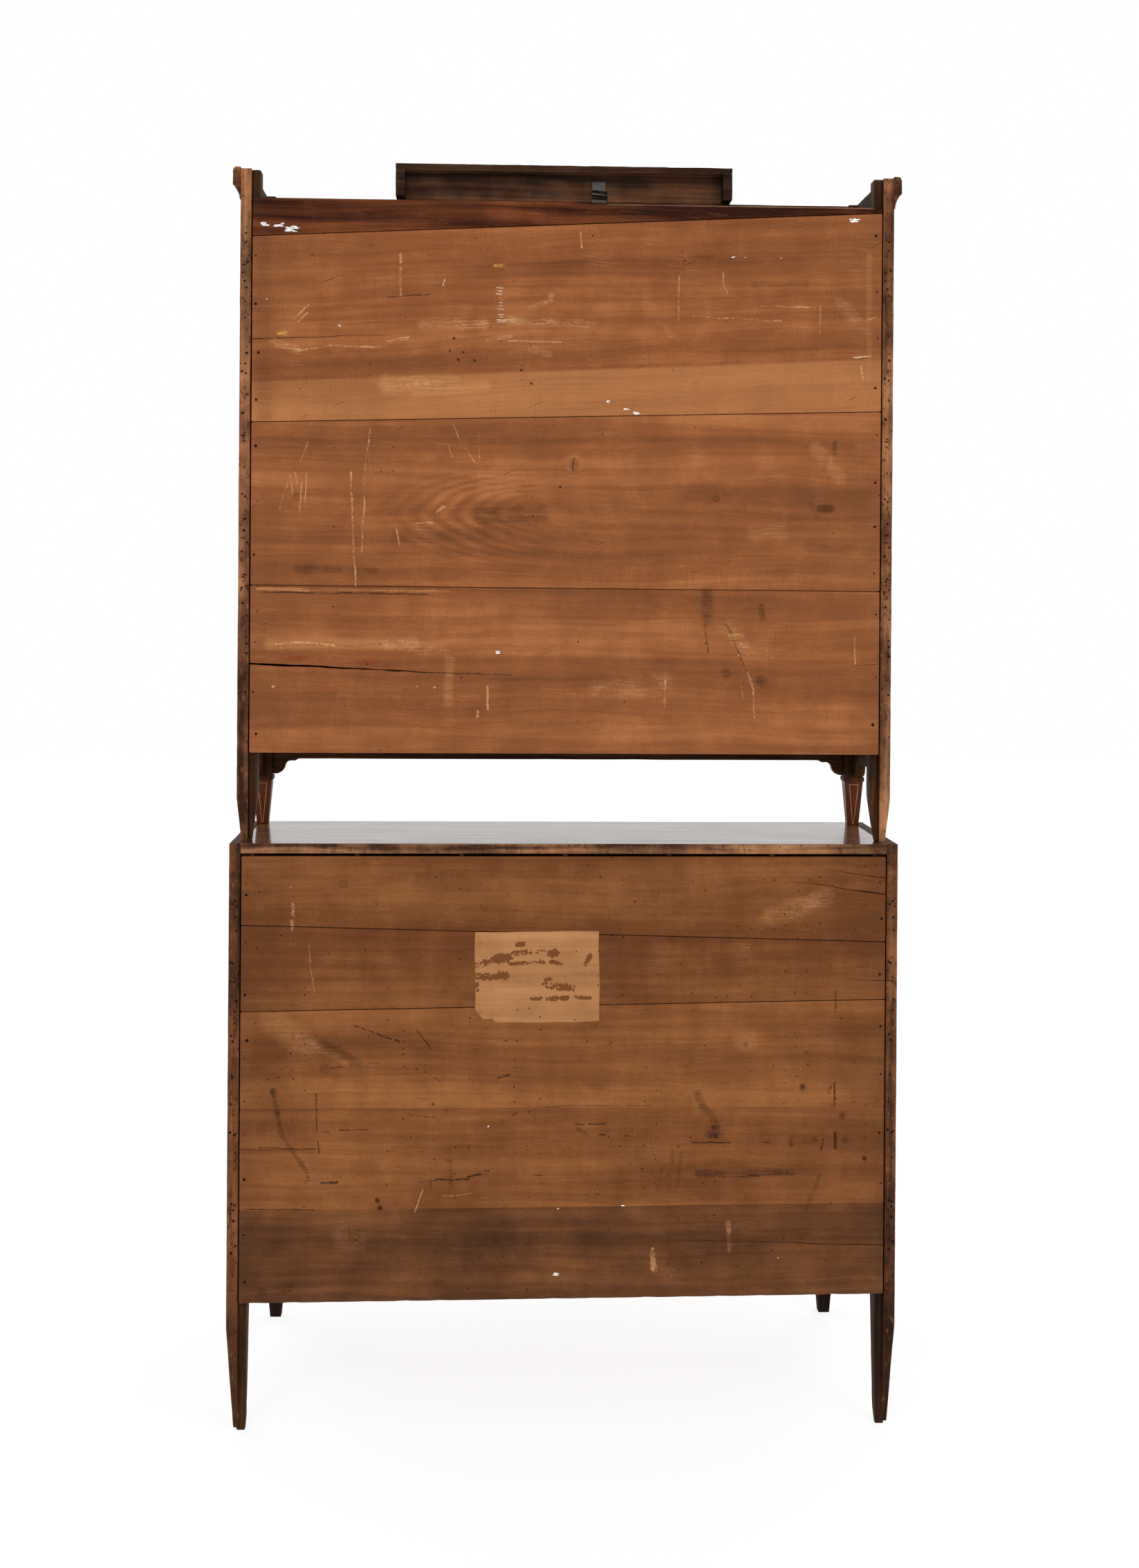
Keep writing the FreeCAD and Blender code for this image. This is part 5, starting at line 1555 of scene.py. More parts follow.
@dataclass
class DeskCase:
    """Fixed woodwork of the desk."""

    foot: TaperFoot = TaperFoot(x=0.567, y=-0.2545, low=0.0, high=0.219, low_width=0.022, high_width=0.058)
    blunt: float = 0.14
    inner_x: float = 0.5815
    rear_y: float = 0.285
    thicker: float = 0.004
    worn_off: float = 0.004
    worn_below: float = 0.01
    post_y: float = 0.292
    post_back: float = 0.015

    def build(self) -> None:
        """Dress every fixed node of the desk."""
        for side in ("left", "right"):
            WornCopy("desk_side_" + side, along(Axis.Z, VENEER, EDGE, POST), bare_and_shaded_faces, ease=0.0014,
                     spacing=0.012, push=self.blunt_side).build()
            WornCopy("desk_front_leg_" + side, along(Axis.Z, LEG, DARK_WOOD_AND_RIM_SHADE, DARK_WOOD_AND_RIM_SHADE), bare_and_shaded_faces, ease=0.0015,
                     wobble=0.0003, spacing=0.02).build()
        WornCopy("desk_top_board", along(Axis.X, TOP, TOP_EDGE), rear_faces, ease=0.0015, wobble=0.0005,
                 spacing=0.014, level=True).build()
        WornCopy("desk_rear_posts", along(Axis.Z, POST), ease=0.002, spacing=0.02,
                 push=self.blunt_post).build()
        for node, wood in (("drawer_rails", VENEER), ("writing_bed", VENEER), ("lid_stop_rail", POST)):
            WornCopy(node, along(Axis.X, wood)).build()
        WornCopy("desk_bottom_board", along(Axis.X, POPLAR), slot="poplar").build()
        WornCopy("drawer_runners", [POPLAR.material(Axis.Y), VENEER.material(Axis.Z)], front_faces,
                 slot="poplar").build()
        brass_fittings("lid_hinges_fixed")
        STRINGING.lay("desk_foot_lines", CASE, self.foot.loops())

    def blunt_side(self, place: Vector) -> Vector:
        """Thicken the rear foot of a side board towards the floor, and wear its end off.

        Args:
            place: a point of the board.

        Returns:
            How far the point moves.
        """
        low = max(0.0, 1 - place.z / self.blunt)
        rear = place.y > self.rear_y
        inner = rear and abs(place.x) < self.inner_x
        worn = self.worn_off if rear and place.z < self.worn_below else 0.0
        return Vector((-math.copysign(self.thicker * low if inner else 0.0, place.x), 0.0, worn))

    def blunt_post(self, place: Vector) -> Vector:
        """Bring the foot of a rear post back to the side board's edge towards the floor."""
        low = max(0.0, 1 - place.z / self.blunt)
        return Vector((0.0, self.post_back * low if place.y > self.post_y else 0.0, 0.0))


@dataclass
class CabinetCase:
    """Fixed woodwork of the upper cabinet."""

    foot: TaperFoot = TaperFoot(x=0.573, y=0.0055, low=1.045, high=1.13, low_width=0.022, high_width=0.036,
                                low_inset=0.0102, high_inset=0.0088, low_share=0.04, all_round=True)
    dust_line: float = 2.1
    bracket_y: float = 0.2
    cap_deep: float = 0.03
    wall_deep: float = 0.035
    wire: float = 0.0009
    wire_out: float = 0.0012
    wire_deep: float = 0.008
    turns: Sequence[tuple[float, float]] = (
        (0.57, 0.0008), (0.61, 0.0014), (0.635, 0.0009), (0.70, 0.0016), (0.725, 0.0011))

    def build(self) -> None:
        """Dress every fixed node of the cabinet."""
        for side in ("left", "right"):
            WornCopy("cabinet_side_" + side, along(Axis.Z, VENEER, PALE_EDGE, POST), self.bare_side,
                     ease=0.0014, spacing=0.012).build()
            WornCopy("cabinet_front_post_" + side, along(Axis.Z, FOOT, POST, VENEER), self.bare_inside_and_shaded_top,
                     ease=0.001, wobble=0.00015).build()
        WornCopy("cabinet_front_apron", along(Axis.X, VENEER, POST), rear_faces).build()
        WornCopy("frieze_board", along(Axis.X, VENEER, POST, POST), bare_and_shaded_faces).build()
        # The cornice's rear faces in the worn edge wood and its inner and upward faces in the dark post
        # wood are painted shade that darkens its shadowed ends.
        WornCopy("cornice", along(Axis.X, VENEER, EDGE, POST), bare_and_shaded_faces, ease=0.001, wobble=0.0006,
                 spacing=0.012).build()
        WornCopy("cabinet_rear_posts", along(Axis.Z, POST), ease=0.0018, wobble=0.0005,
                 spacing=0.02).build()
        for node in ("cabinet_bottom_board", "cabinet_roof_board", "cabinet_shelves"):
            WornCopy(node, along(Axis.X, POPLAR, DUST_AND_SHADE), self.dusty, slot="poplar").build()
        # Raised block: painted shade on the cap and end returns, painted light on the wall behind and under
        # the cap.
        WornCopy("raised_block", along(Axis.X, VENEER, DARK_WOOD_AND_RIM_SHADE, BLOCK_WALL_LIGHT, CAP_UNDERSIDE_LIGHT), self.block_light_and_shade, ease=0.0014,
                 wobble=0.0007, spacing=0.012).build()
        brass_fittings("door_hinges_fixed")
        STRINGING.lay("cabinet_foot_lines", CASE, self.foot.loops())
        self.strap()

    def bare_inside_and_shaded_top(self, solid: int, normal: Vector, middle: Vector) -> int:
        """Veneer on a front post's outer faces above its foot, dark bare wood on the inner ones, painted
        shade on the upward ones.
        """
        # Upward faces take the dark wood as painted shade over the highlight on the collar's top.
        bare = normal.y > 0.5 or normal.x * middle.x < INWARD or normal.z > 0.5
        return 0 if middle.z < self.foot.high else 1 if bare else 2

    def bare_side(self, solid: int, normal: Vector, middle: Vector) -> int:
        """Worn wood on the rear edge of a side board, dark wood on its inner face and front bracket."""
        return 2 if middle.y < self.bracket_y and normal.y > 0.3 else bare_and_shaded_faces(solid, normal, middle)

    def dusty(self, solid: int, normal: Vector, middle: Vector) -> int:
        """Dark dust on the rear edges and on top of the roof board."""
        return 1 if normal.y > FACING or normal.z > FACING and middle.z > self.dust_line else 0

    def block_light_and_shade(self, solid: int, normal: Vector, middle: Vector) -> int:
        """Choose the finish of a face of the raised block.

        Args:
            solid: number of the solid.
            normal: direction of the face.
            middle: middle of the face.

        Returns:
            0 on the veneered front, 1 on the rim in painted shade, 2 on the wall behind in painted light, 3
            under the cap in pale painted light.
        """
        low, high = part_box("raised_block")
        # Underside of the cap: pale painted light.
        if normal.z < -FACING and middle.z > high.z - self.cap_deep:
            return 3
        # The wall behind takes painted light, the rim painted shade.
        inside = normal.y > FACING and middle.y < low.y + self.wall_deep
        return 2 if inside else 0 if normal.y < -FACING else 1

    def strap(self) -> None:
        """Iron strap behind the raised block with turns of wire round it."""
        WornCopy("raised_block_strap", [IRON.material()], slot="iron", ease=0.0006, wobble=0.0005).build()
        low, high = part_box("raised_block_strap")
        loops = []
        left, right, rear = low.x - self.wire_out, high.x + self.wire_out, high.y + self.wire_out
        front = high.y - self.wire_deep
        for share, tilt in self.turns:
            z = low.z + (high.z - low.z) * share
            loops.append([Vector((x, y, z + tilt * way)) for x, y, way in (
                (left, rear, -1), (right, rear, 1), (right, front, 1), (left, front, -1))])
        points, edges = closed_paths(loops)
        grown("strap_wire", points, edges, sweep_tree(), CASE, "iron", Radius=self.wire,
              Finish=NAIL.material())


@dataclass(frozen=True)
class LongDrawer:
    """Long drawer with a veneered front, a plain box, knobs and a key plate."""

    name: str
    margin: float = 0.018

    def build(self) -> None:
        """Dress the drawer."""
        front = self.name + "_front"
        WornCopy(front, along(Axis.X, VENEER, POPLAR), rear_faces).build()
        WornCopy(self.name + "_box", along(Axis.Y, POPLAR), slot="poplar").build()
        brass_fittings(self.name + "_fittings")
        STRINGING.lay(self.name + "_lines", self.name, [STRINGING.on_front(front, self.margin)])


@dataclass(frozen=True)
class Lid:
    """Sloping fall lid with its clamps, hinges and lock."""

    margin: float = 0.03
    wobble: float = 0.0001

    def build(self) -> None:
        """Dress the lid and lay a line on its outer face."""
        WornCopy("lid_panel", along(Axis.X, VENEER), wobble=self.wobble).build()
        WornCopy("lid_end_clamps", along(Axis.Z, VENEER), wobble=self.wobble).build()
        brass_fittings("lid_fittings")
        mesh = frame["nodes"]["lid_panel"].data
        face = max((p for p in mesh.polygons if p.normal.z > 0.3), key=lambda p: p.area)
        out = face.normal.copy()
        rise = Vector((1.0, 0.0, 0.0)).cross(out)
        rise = rise if rise.z > 0 else -rise
        points = [v.co for v in mesh.vertices]
        level = max(p.dot(out) for p in points) - STRINGING.sunk
        heights = [p.dot(rise) for p in points]
        low, high = min(heights) + self.margin, max(heights) - self.margin
        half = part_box("lid_end_clamps")[1].x - self.margin
        path = [Vector((x, 0.0, 0.0)) + out * level + rise * up for x, up in (
            (-half, low), (half, low), (half, high), (-half, high))]
        STRINGING.lay("lid_lines", "lid", [path])


@dataclass(frozen=True)
class Door:
    """Framed cabinet door."""

    side: str
    margin: float = 0.028

    def build(self) -> None:
        """Dress the door and lay a line on its panel."""
        name = "door_" + self.side
        WornCopy(name + "_frame", [VENEER.material(Axis.Z), VENEER.material(Axis.X)],
                 turned_from(2)).build()
        WornCopy(name + "_panel", along(Axis.Z, VENEER), ease=0.0008, wobble=0.0001).build()
        brass_fittings(name + "_fittings")
        STRINGING.lay(name + "_lines", name, [STRINGING.on_front(name + "_panel", self.margin)])


@dataclass(frozen=True)
class Nest:
    """Partitions and small drawers behind the lid, and the two lid supports."""

    drawers: int = 4
    ease: float = 0.0007
    wobble: float = 0.0001

    def build(self) -> None:
        """Dress the nest and the supports."""
        # The partitions' rear faces take the dark wood as painted shade in the gap below the desk top's
        # rear edge.
        WornCopy("nest_partitions", along(Axis.X, VENEER, DUST_AND_SHADE), rear_faces, ease=self.ease,
                 wobble=self.wobble).build()
        for number in range(1, self.drawers + 1):
            WornCopy("nest_drawer_%d" % number, [VENEER.material(Axis.X), BRASS.material()], turned_from(5),
                     ease=self.ease, wobble=self.wobble).build()
        for side in ("left", "right"):
            WornCopy("loper_" + side, [VENEER.material(Axis.Y), BRASS.material()], turned_from(1),
                     wobble=self.wobble).build()


@dataclass(frozen=True)
class FlatRemnant:
    """Thin torn piece that sticks to a back."""

    name: str
    outline: Sequence[Pixel]
    depth: float
    thick: float = 0.0004
    ragged: float = 1.4
    steps: int = 7

    def shape(self, chance: random.Random) -> BMesh:
        """Thin solid with a torn edge.

        Args:
            chance: source of its raggedness.

        Returns:
            The closed shape.
        """
        edge: list[tuple[float, float]] = []
        count = len(self.outline)
        for i, first in enumerate(self.outline):
            second = self.outline[(i + 1) % count]
            for step in range(self.steps):
                share = step / self.steps
                pixel = tuple(a + (b - a) * share + chance.uniform(-0.5, 0.5) * self.ragged
                              for a, b in zip(first, second))
                edge.append(CAMERA.on_plane(pixel, self.depth))
        shape = bmesh.new()
        rings = [[shape.verts.new((x, y, z)) for x, z in edge]
                 for y in (self.depth, self.depth + self.thick)]
        band(shape, *rings)
        for ring in rings:
            fill(shape, ring)
        bmesh.ops.recalc_face_normals(shape, faces=shape.faces)
        return shape

    def build(self, material: bpy.types.Material, slot: str, seed: int) -> None:
        """Make the piece and let it ride on the case."""
        mesh = to_mesh(self.name, self.shape(random.Random(seed)), material)
        put(self.name, mesh, CASE, slot)


@dataclass(frozen=True)
class PaintFlecks:
    """Small white flecks of paint on the backs."""

    spots: Sequence[tuple[Pixel, Pixel, float]]
    seed: int = 23
    turns: int = 9
    wide: float = 1.7
    tall: float = 0.5

    def fleck(self, whole: BMesh, chance: random.Random, middle: Pixel, reach: float,
              depth: float) -> None:
        """Add one ragged fleck.

        Args:
            whole: shape that takes the fleck.
            chance: source of its unevenness.
            middle: its pixel in the photograph.
            reach: its half width in pixels.
            depth: Y of the board's face.
        """
        outline = []
        for i in range(self.turns):
            angle = 2 * math.pi * i / self.turns
            out = reach * chance.uniform(0.35, 1.15)
            outline.append((middle[0] + self.wide * out * math.cos(angle),
                            middle[1] + self.tall * out * math.sin(angle)))
        piece = FlatRemnant("fleck", outline, depth, chance.uniform(0.0002, 0.0005), 0.0, 1).shape(chance)
        take_in(whole, piece)

    def build(self) -> None:
        """Make all flecks as one piece."""
        chance = random.Random(self.seed)
        whole = bmesh.new()
        for spot, size, depth in self.spots:
            for _ in range(max(2, round(size[0] * size[1] / 9))):
                middle = tuple(s + chance.uniform(-0.5, 0.5) * reach * 0.8 for s, reach in zip(spot, size))
                self.fleck(whole, chance, middle, chance.uniform(1.4, 3.4) * min(1.0, size[0] / 9), depth)
        put("paint_flecks", to_mesh("paint_flecks", whole, PAINT.material(Axis.X)), CASE, "cabinet_back")


@dataclass(frozen=True)
class StripHoles:
    """Old nail holes down the worn rear edges of the side boards."""

    node: str
    count: int
    seed: int
    edge: float = 0.004
    low_room: float = 0.25
    high_room: float = 0.1
    rise: float = 0.0002

    def build(self) -> None:
        """Scatter the holes."""
        chance = random.Random(self.seed)
        low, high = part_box(self.node)
        points = []
        for _ in range(self.count):
            x = chance.uniform(low.x + self.edge, high.x - self.edge)
            z = chance.uniform(low.z + self.low_room, high.z - self.high_room)
            points.append(Vector((x, high.y + self.rise, z)))
        grown(self.node + "_holes", points, [], scatter_tree(), CASE, "walnut", Radius=0.0016, Rise=0.0012,
              Crown=0.8, Spread=0.5, Finish=HOLE.material(Axis.X))


DESK_Y = 0.3175
CABINET_Y = 0.2875
PAINT = Wood("white_paint", (206, 206, 204), (238, 240, 242), (250, 250, 250), grime=(190, 180, 168),
             grime_share=0.3, figure=0.0, rough=0.6, bump=0.2, shine=0.2)
PAPER = Wood("torn_paper", (146, 99, 62), (173, 123, 81), (192, 142, 98), grime=(150, 102, 65),
             grime_share=0.5, figure=0.0, rough=0.75, bump=0.15, worm=0.4, contrast=0.6, shine=0.08)


def strokes(tone: Tone, *rows: tuple[float, ...]) -> list[Mark]:
    """Marks of one tone, each by the column and row of both its ends, its width and its strength."""
    return [Mark(tone, row[:2], row[2:4], *row[4:]) for row in rows]


def chain(tone: Tone, width: float, strength: float, *pixels: Pixel) -> list[Mark]:
    """Marks along a bent line."""
    return [Mark(tone, first, second, width, strength) for first, second in zip(pixels, pixels[1:])]


def dots(tone: Tone, width: float, strength: float, *pixels: Pixel) -> list[Mark]:
    """Round marks."""
    return [Mark(tone, pixel, pixel, width, strength) for pixel in pixels]


CABINET_MARKS = [
    *strokes(Tone.TAN, (560, 556, 650, 556, 40, 0.62), (600, 566, 700, 558, 26, 0.5),
        (1256, 370, 1257, 550, 12, 0.22), (372, 852, 445, 853, 6, 0.9), (445, 853, 650, 855, 5, 0.5),
        (1180, 650, 1215, 690, 30, 0.3), (390, 932, 600, 932, 24, 0.42), (650, 955, 648, 1015, 20, 0.4)),
    *strokes(Tone.PALE, (590, 556, 620, 555, 9, 0.42), (579, 367, 579, 379, 7, 0.54),
        (579, 388, 580, 426, 7, 0.54), (735, 493, 812, 495, 4, 0.62), (560, 494, 590, 487, 5, 0.66),
        (424, 462, 446, 440, 4, 0.5), (430, 466, 444, 452, 3, 0.6), (840, 335, 841, 358, 5, 0.62),
        (1003, 457, 1130, 465, 5, 0.47), (1100, 443, 1170, 444, 3, 0.5), (981, 400, 981, 480, 3, 0.42),
        (1186, 442, 1186, 482, 3, 0.55), (1268, 458, 1254, 462, 4, 0.7), (1244, 530, 1248, 548, 4, 0.6),
        (507, 683, 514, 848, 5.5, 0.52), (631, 741, 641, 732, 7, 0.5), (601, 756, 625, 756, 4, 0.55),
        (573, 765, 578, 788, 4, 0.6), (705, 993, 705, 1025, 6, 0.66), (690, 1028, 690, 1036, 6, 0.55),
        (1236, 920, 1236, 960, 4, 0.55), (962, 985, 962, 1020, 8, 0.55), (1073, 994, 1074, 1008, 5, 0.5)),
    *strokes(Tone.BROWN, (381, 350, 382, 600, 34, 0.28), (640, 505, 900, 500, 60, 0.16),
        (380, 520, 640, 525, 34, 0.2), (1173, 728, 1182, 746, 14, 0.4), (1062, 735, 1075, 735, 22, 0.3),
        (1095, 832, 1145, 828, 24, 0.25), (1170, 790, 1262, 800, 26, 0.25),
        (1090, 412, 1165, 412, 14, 0.4), (998, 372, 1030, 372, 9, 0.45), (700, 748, 780, 746, 46, 0.62),
        (1207, 640, 1206, 655, 12, 0.6), (1195, 660, 1193, 680, 12, 0.5), (430, 824, 490, 822, 18, 0.5),
        (530, 826, 545, 826, 10, 0.5)),
    *strokes(Tone.GREY, (643, 404, 640, 414, 3, 0.6), (1234, 517, 1258, 516, 3, 0.62)),
    *strokes(Tone.YELLOW, (716, 384, 728, 384, 8, 0.9), (402, 482, 413, 482, 9, 0.8),
        (722, 431, 727, 432, 6, 0.6), (1054, 919, 1075, 919, 6, 0.6)),
    *strokes(Tone.SCUFF, (612, 468, 700, 469, 20, 0.8), (735, 463, 858, 470, 18, 0.85),
        (770, 444, 790, 437, 12, 0.8), (796, 434, 797, 425, 12, 0.8), (768, 505, 792, 512, 14, 0.8),
        (705, 492, 738, 486, 10, 0.8), (395, 494, 430, 506, 16, 0.9), (1215, 440, 1255, 480, 26, 0.35),
        (960, 470, 970, 485, 12, 0.6), (1094, 772, 1126, 770, 40, 0.3), (560, 930, 640, 940, 26, 0.7),
        (865, 1000, 960, 990, 44, 0.4), (1045, 905, 1085, 945, 30, 0.4), (1060, 926, 1080, 934, 16, 0.9)),
    *strokes(Tone.DARK, (560, 429, 622, 426, 3, 0.6), (672, 441, 720, 440, 6, 0.32),
        (560, 970, 740, 976, 3.5, 0.72), (830, 664, 828, 681, 4, 0.75), (380, 857, 620, 859, 3.4, 0.72)),
    *strokes(Tone.RED, (400, 951, 545, 957, 16, 0.5), (950, 954, 980, 954, 8, 0.6)),
    *(Mark(Tone.GREY, (x, y), (x + long, y), 2.4, 0.66) for x, y, long in (
        (718, 417, 10), (719, 421, 7), (717, 425, 9), (721, 437, 5), (722, 442, 5), (720, 447, 8),
        (721, 455, 7), (722, 459, 5), (718, 463, 13), (719, 466, 11))),
    *chain(Tone.PALE, 5, 0.47, (400, 501), (436, 506), (480, 499), (545, 503), (588, 490)),
    *chain(Tone.PALE, 3, 0.6, (1045, 395), (1046, 412), (1052, 424)),
    *chain(Tone.PALE, 4, 0.48, (535, 619), (528, 680), (523, 798)),
    *strokes(Tone.PALE, *((*ends, 2.8, 0.5) for ends in (
        (418, 683, 423, 715), (426, 682, 429, 699), (443, 684, 440, 726), (435, 699, 433, 741),
        (416, 698, 404, 736), (451, 611, 448, 619), (445, 640, 434, 669), (533, 653, 538, 686),
        (654, 608, 661, 629), (661, 629, 686, 670), (692, 630, 693, 662), (648, 645, 653, 661)))),
    *chain(Tone.PALE, 5, 0.58, (398, 931), (440, 929), (482, 933)),
    *dots(Tone.PALE, 7, 0.6, (394, 993), (603, 993), (628, 994)),
    *dots(Tone.DARK, 7, 1.0, (656, 490), (651, 508), (670, 509), (662, 520), (686, 521), (768, 555),
          (753, 535)),
    *dots(Tone.DARK, 4, 0.9, (709, 474), (768, 452), (768, 500), (724, 494)),
    *dots(Tone.BROWN, 16, 0.6, (427, 719)),
    *chain(Tone.BROWN, 26, 0.6, (1022, 856), (1024, 892)),
    *chain(Tone.BROWN, 12, 0.6, (1023, 860), (1025, 884), (1020, 904)),
    *chain(Tone.DARK, 4, 0.5, (1019, 906), (1021, 924), (1023, 944)),
    *chain(Tone.DARK, 5, 0.6, (1044, 895), (1058, 918), (1066, 940), (1081, 975)),
    *chain(Tone.DARK, 2.4, 0.4, (1124, 907), (1117, 940), (1110, 956)),
    *chain(Tone.BROWN, 14, 0.6, (1100, 878), (1103, 893)),
    *dots(Tone.PALE, 6, 0.6, (1110, 942), (1072, 930), (1068, 948)),
    *chain(Tone.PALE, 6, 0.52, (1081, 974), (1084, 981), (1089, 998), (1091, 1038)),
    *dots(Tone.BROWN, 24, 0.6, (1097, 985), (1049, 974)),
    *dots(Tone.DARK, 6, 1.0, (810, 704)),
]
CABINET_KNOTS = [
    Knot((830, 672), (7, 11), 0.5), Knot((1194, 736), (16, 7), 0.3, 0.6), Knot((1035, 721), (6, 5), 0.8),
    Knot((1102, 985), (8, 10), 0.4),
]
CABINET_CRACKS = [
    Crack((368, 490), (568, 484), 0.0015), Crack((367, 960), (640, 973), 0.0052),
    Crack((1273, 857), (1068, 861), 0.0010), Crack((1273, 961), (1225, 963), 0.0010),
]
DESK_MARKS = [
    *strokes(Tone.DARK, (375, 1660, 455, 1663, 3, 0.7), (451, 1638, 474, 1638, 3, 0.6),
        (458, 1583, 459, 1635, 4.5, 0.8), (490, 1634, 532, 1635, 3.5, 0.62),
        (460, 1652, 461, 1668, 4, 0.7), (604, 1489, 623, 1516, 3.5, 0.85),
        (614, 1550, 636, 1563, 4, 0.62), (590, 1612, 632, 1618, 3.5, 0.5), (605, 1588, 616, 1590, 5, 0.6),
        (478, 1544, 548, 1538, 4, 0.45), (465, 1710, 487, 1710, 7, 0.7), (770, 1700, 790, 1700, 5, 0.5),
        (1208, 1432, 1208, 1475, 4, 0.6), (1000, 1653, 1056, 1653, 3, 0.75),
        (1106, 1652, 1112, 1652, 4, 0.8), (1040, 1702, 1098, 1702, 4, 0.66),
        (1207, 1566, 1207, 1600, 5, 0.85), (1207, 1638, 1207, 1660, 6, 0.85),
        (1191, 1648, 1187, 1662, 5, 0.7), (1200, 1572, 1198, 1582, 4, 0.66),
        (1161, 1573, 1161, 1576, 8, 0.7), (343, 1750, 455, 1749, 2.6, 0.75),
        (752, 1601, 940, 1599, 1.8, 0.62)),
    *strokes(Tone.BROWN, (450, 1500, 520, 1540, 20, 0.6), (652, 1676, 652, 1717, 8, 0.5),
        (623, 1709, 623, 1718, 6, 0.6), (1145, 1646, 1143, 1655, 12, 0.8),
        (1009, 1698, 1095, 1699, 16, 0.8), (1102, 1698, 1146, 1695, 15, 0.85),
        (1185, 1700, 1166, 1748, 9, 0.5), (973, 1665, 968, 1720, 9, 0.4),
        (1161, 1571, 1161, 1577, 15, 1.0), (836, 1633, 849, 1641, 9, 0.8), (721, 1558, 735, 1555, 7, 0.9),
        (985, 1668, 979, 1715, 8, 0.4), (958, 1690, 950, 1722, 8, 0.34), (380, 1872, 415, 1864, 30, 0.7)),
    *strokes(Tone.TAN, (395, 1478, 445, 1512, 50, 0.3), (1053, 1770, 1054, 1784, 11, 0.5),
        (1054, 1784, 1054, 1810, 9, 0.25), (1115, 1325, 1195, 1298, 40, 0.34)),
    *strokes(Tone.SCUFF, (430, 1500, 500, 1535, 16, 0.3), (1130, 1330, 1180, 1300, 26, 0.3)),
    *strokes(Tone.PALE, (423, 1307, 424, 1325, 9, 0.5), (422, 1332, 423, 1345, 9, 0.6),
        (611, 1721, 599, 1753, 4, 0.55), (640, 1731, 684, 1726, 3, 0.45),
        (944, 1807, 945, 1835, 17, 0.6)),
    *dots(Tone.DARK, 19, 0.72, (395, 1580)),
    *chain(Tone.BROWN, 11, 0.85, (397, 1586), (401, 1611), (405, 1633), (410, 1644)),
    *dots(Tone.DARK, 14, 0.66, (410, 1644)),
    *chain(Tone.BROWN, 9, 0.6, (413, 1649), (431, 1676), (444, 1697), (446, 1706)),
    *dots(Tone.BROWN, 9, 0.5, (422, 1620), (442, 1709)),
    *(Mark(Tone.DARK, (x, y), (x + 7, y + 2.6), 3.5, 0.85) for x, y in (
        (512, 1484), (523, 1488), (534, 1492), (546, 1496), (558, 1500), (570, 1504))),
    *dots(Tone.DARK, 6, 0.75, (584, 1491), (584, 1507), (583, 1517), (583, 1525), (584, 1543)),
    *dots(Tone.DARK, 7, 0.7, (602, 1547), (583, 1619), (625, 1597), (646, 1606)),
    *dots(Tone.BROWN, 24, 0.5, (470, 1545)),
    *(Mark(Tone.DARK, (x, y), (x + long, y + rise), 5, strength) for x, y, long, rise, strength in (
        (631, 1706, 24, 1, 0.8), (659, 1706, 17, 0, 0.85), (676, 1702, 19, -3, 0.75),
        (643, 1677, 11, 2, 0.7), (607, 1709, 23, -1, 0.5), (700, 1694, 7, -1, 0.55))),
    *dots(Tone.DARK, 13, 0.85, (546, 1736), (549, 1746)),
    *chain(Tone.BROWN, 17, 0.7, (1009, 1582), (1015, 1600), (1030, 1613), (1036, 1630)),
    *dots(Tone.BROWN, 31, 0.95, (1031, 1638)),
    *dots(Tone.DARK, 10, 0.75, (1031, 1631), (1034, 1643)),
    *dots(Tone.DARK, 7, 0.6, (1026, 1644)),
    *dots(Tone.BROWN, 15, 0.75, (1179, 1647), (1222, 1650), (1218, 1614)),
    *dots(Tone.DARK, 10, 0.75, (1249, 1675)),
    *strokes(Tone.DARK, *((*ends, 3.2, 0.8) for ends in (
        (832, 1626, 845, 1627), (851, 1626, 875, 1626), (866, 1641, 875, 1642), (904, 1643, 912, 1643)))),
    *dots(Tone.DARK, 8, 0.95, (1077, 1511)),
    *dots(Tone.DARK, 5, 0.75, (745, 1533), (744, 1545), (743, 1573), (743, 1594), (742, 1612), (754, 1546)),
    *dots(Tone.PALE, 6, 0.5, (420, 1283), (422, 1366)),
    *chain(Tone.PALE, 3, 0.55, (447, 1365), (449, 1400), (455, 1435)),
    *dots(Tone.GREY, 20, 0.25, (618, 1855)),
    *dots(Tone.TAN, 50, 0.3, (1078, 1505)),
    *dots(Tone.TAN, 70, 0.16, (503, 1784)),
    *chain(Tone.DARK, 3, 0.8, (503, 1775), (507, 1788), (523, 1798)),
]
DESK_KNOTS = [
    Knot((496, 1278), (8, 6), 0.6), Knot((1148, 1318), (10, 6), 0.5), Knot((1078, 1511), (5, 5), 0.9),
    Knot((507, 1787), (15, 12), 0.75, 0.4), Knot((717, 1794), (5, 5), 0.7),
]
DESK_CRACKS = [
    Crack((1283, 1270), (1188, 1257), 0.0016), Crack((1283, 1294), (1140, 1274), 0.0022),
    Crack((1283, 1419), (1225, 1416), 0.0012), Crack((342, 1663), (460, 1662), 0.0012),
    Crack((1283, 1801), (970, 1794), 0.0018),
]
PAPER_EDGE = [(687, 1348), (866, 1347), (867, 1477), (718, 1479), (711, 1473), (699, 1474), (692, 1466),
              (687, 1460)]
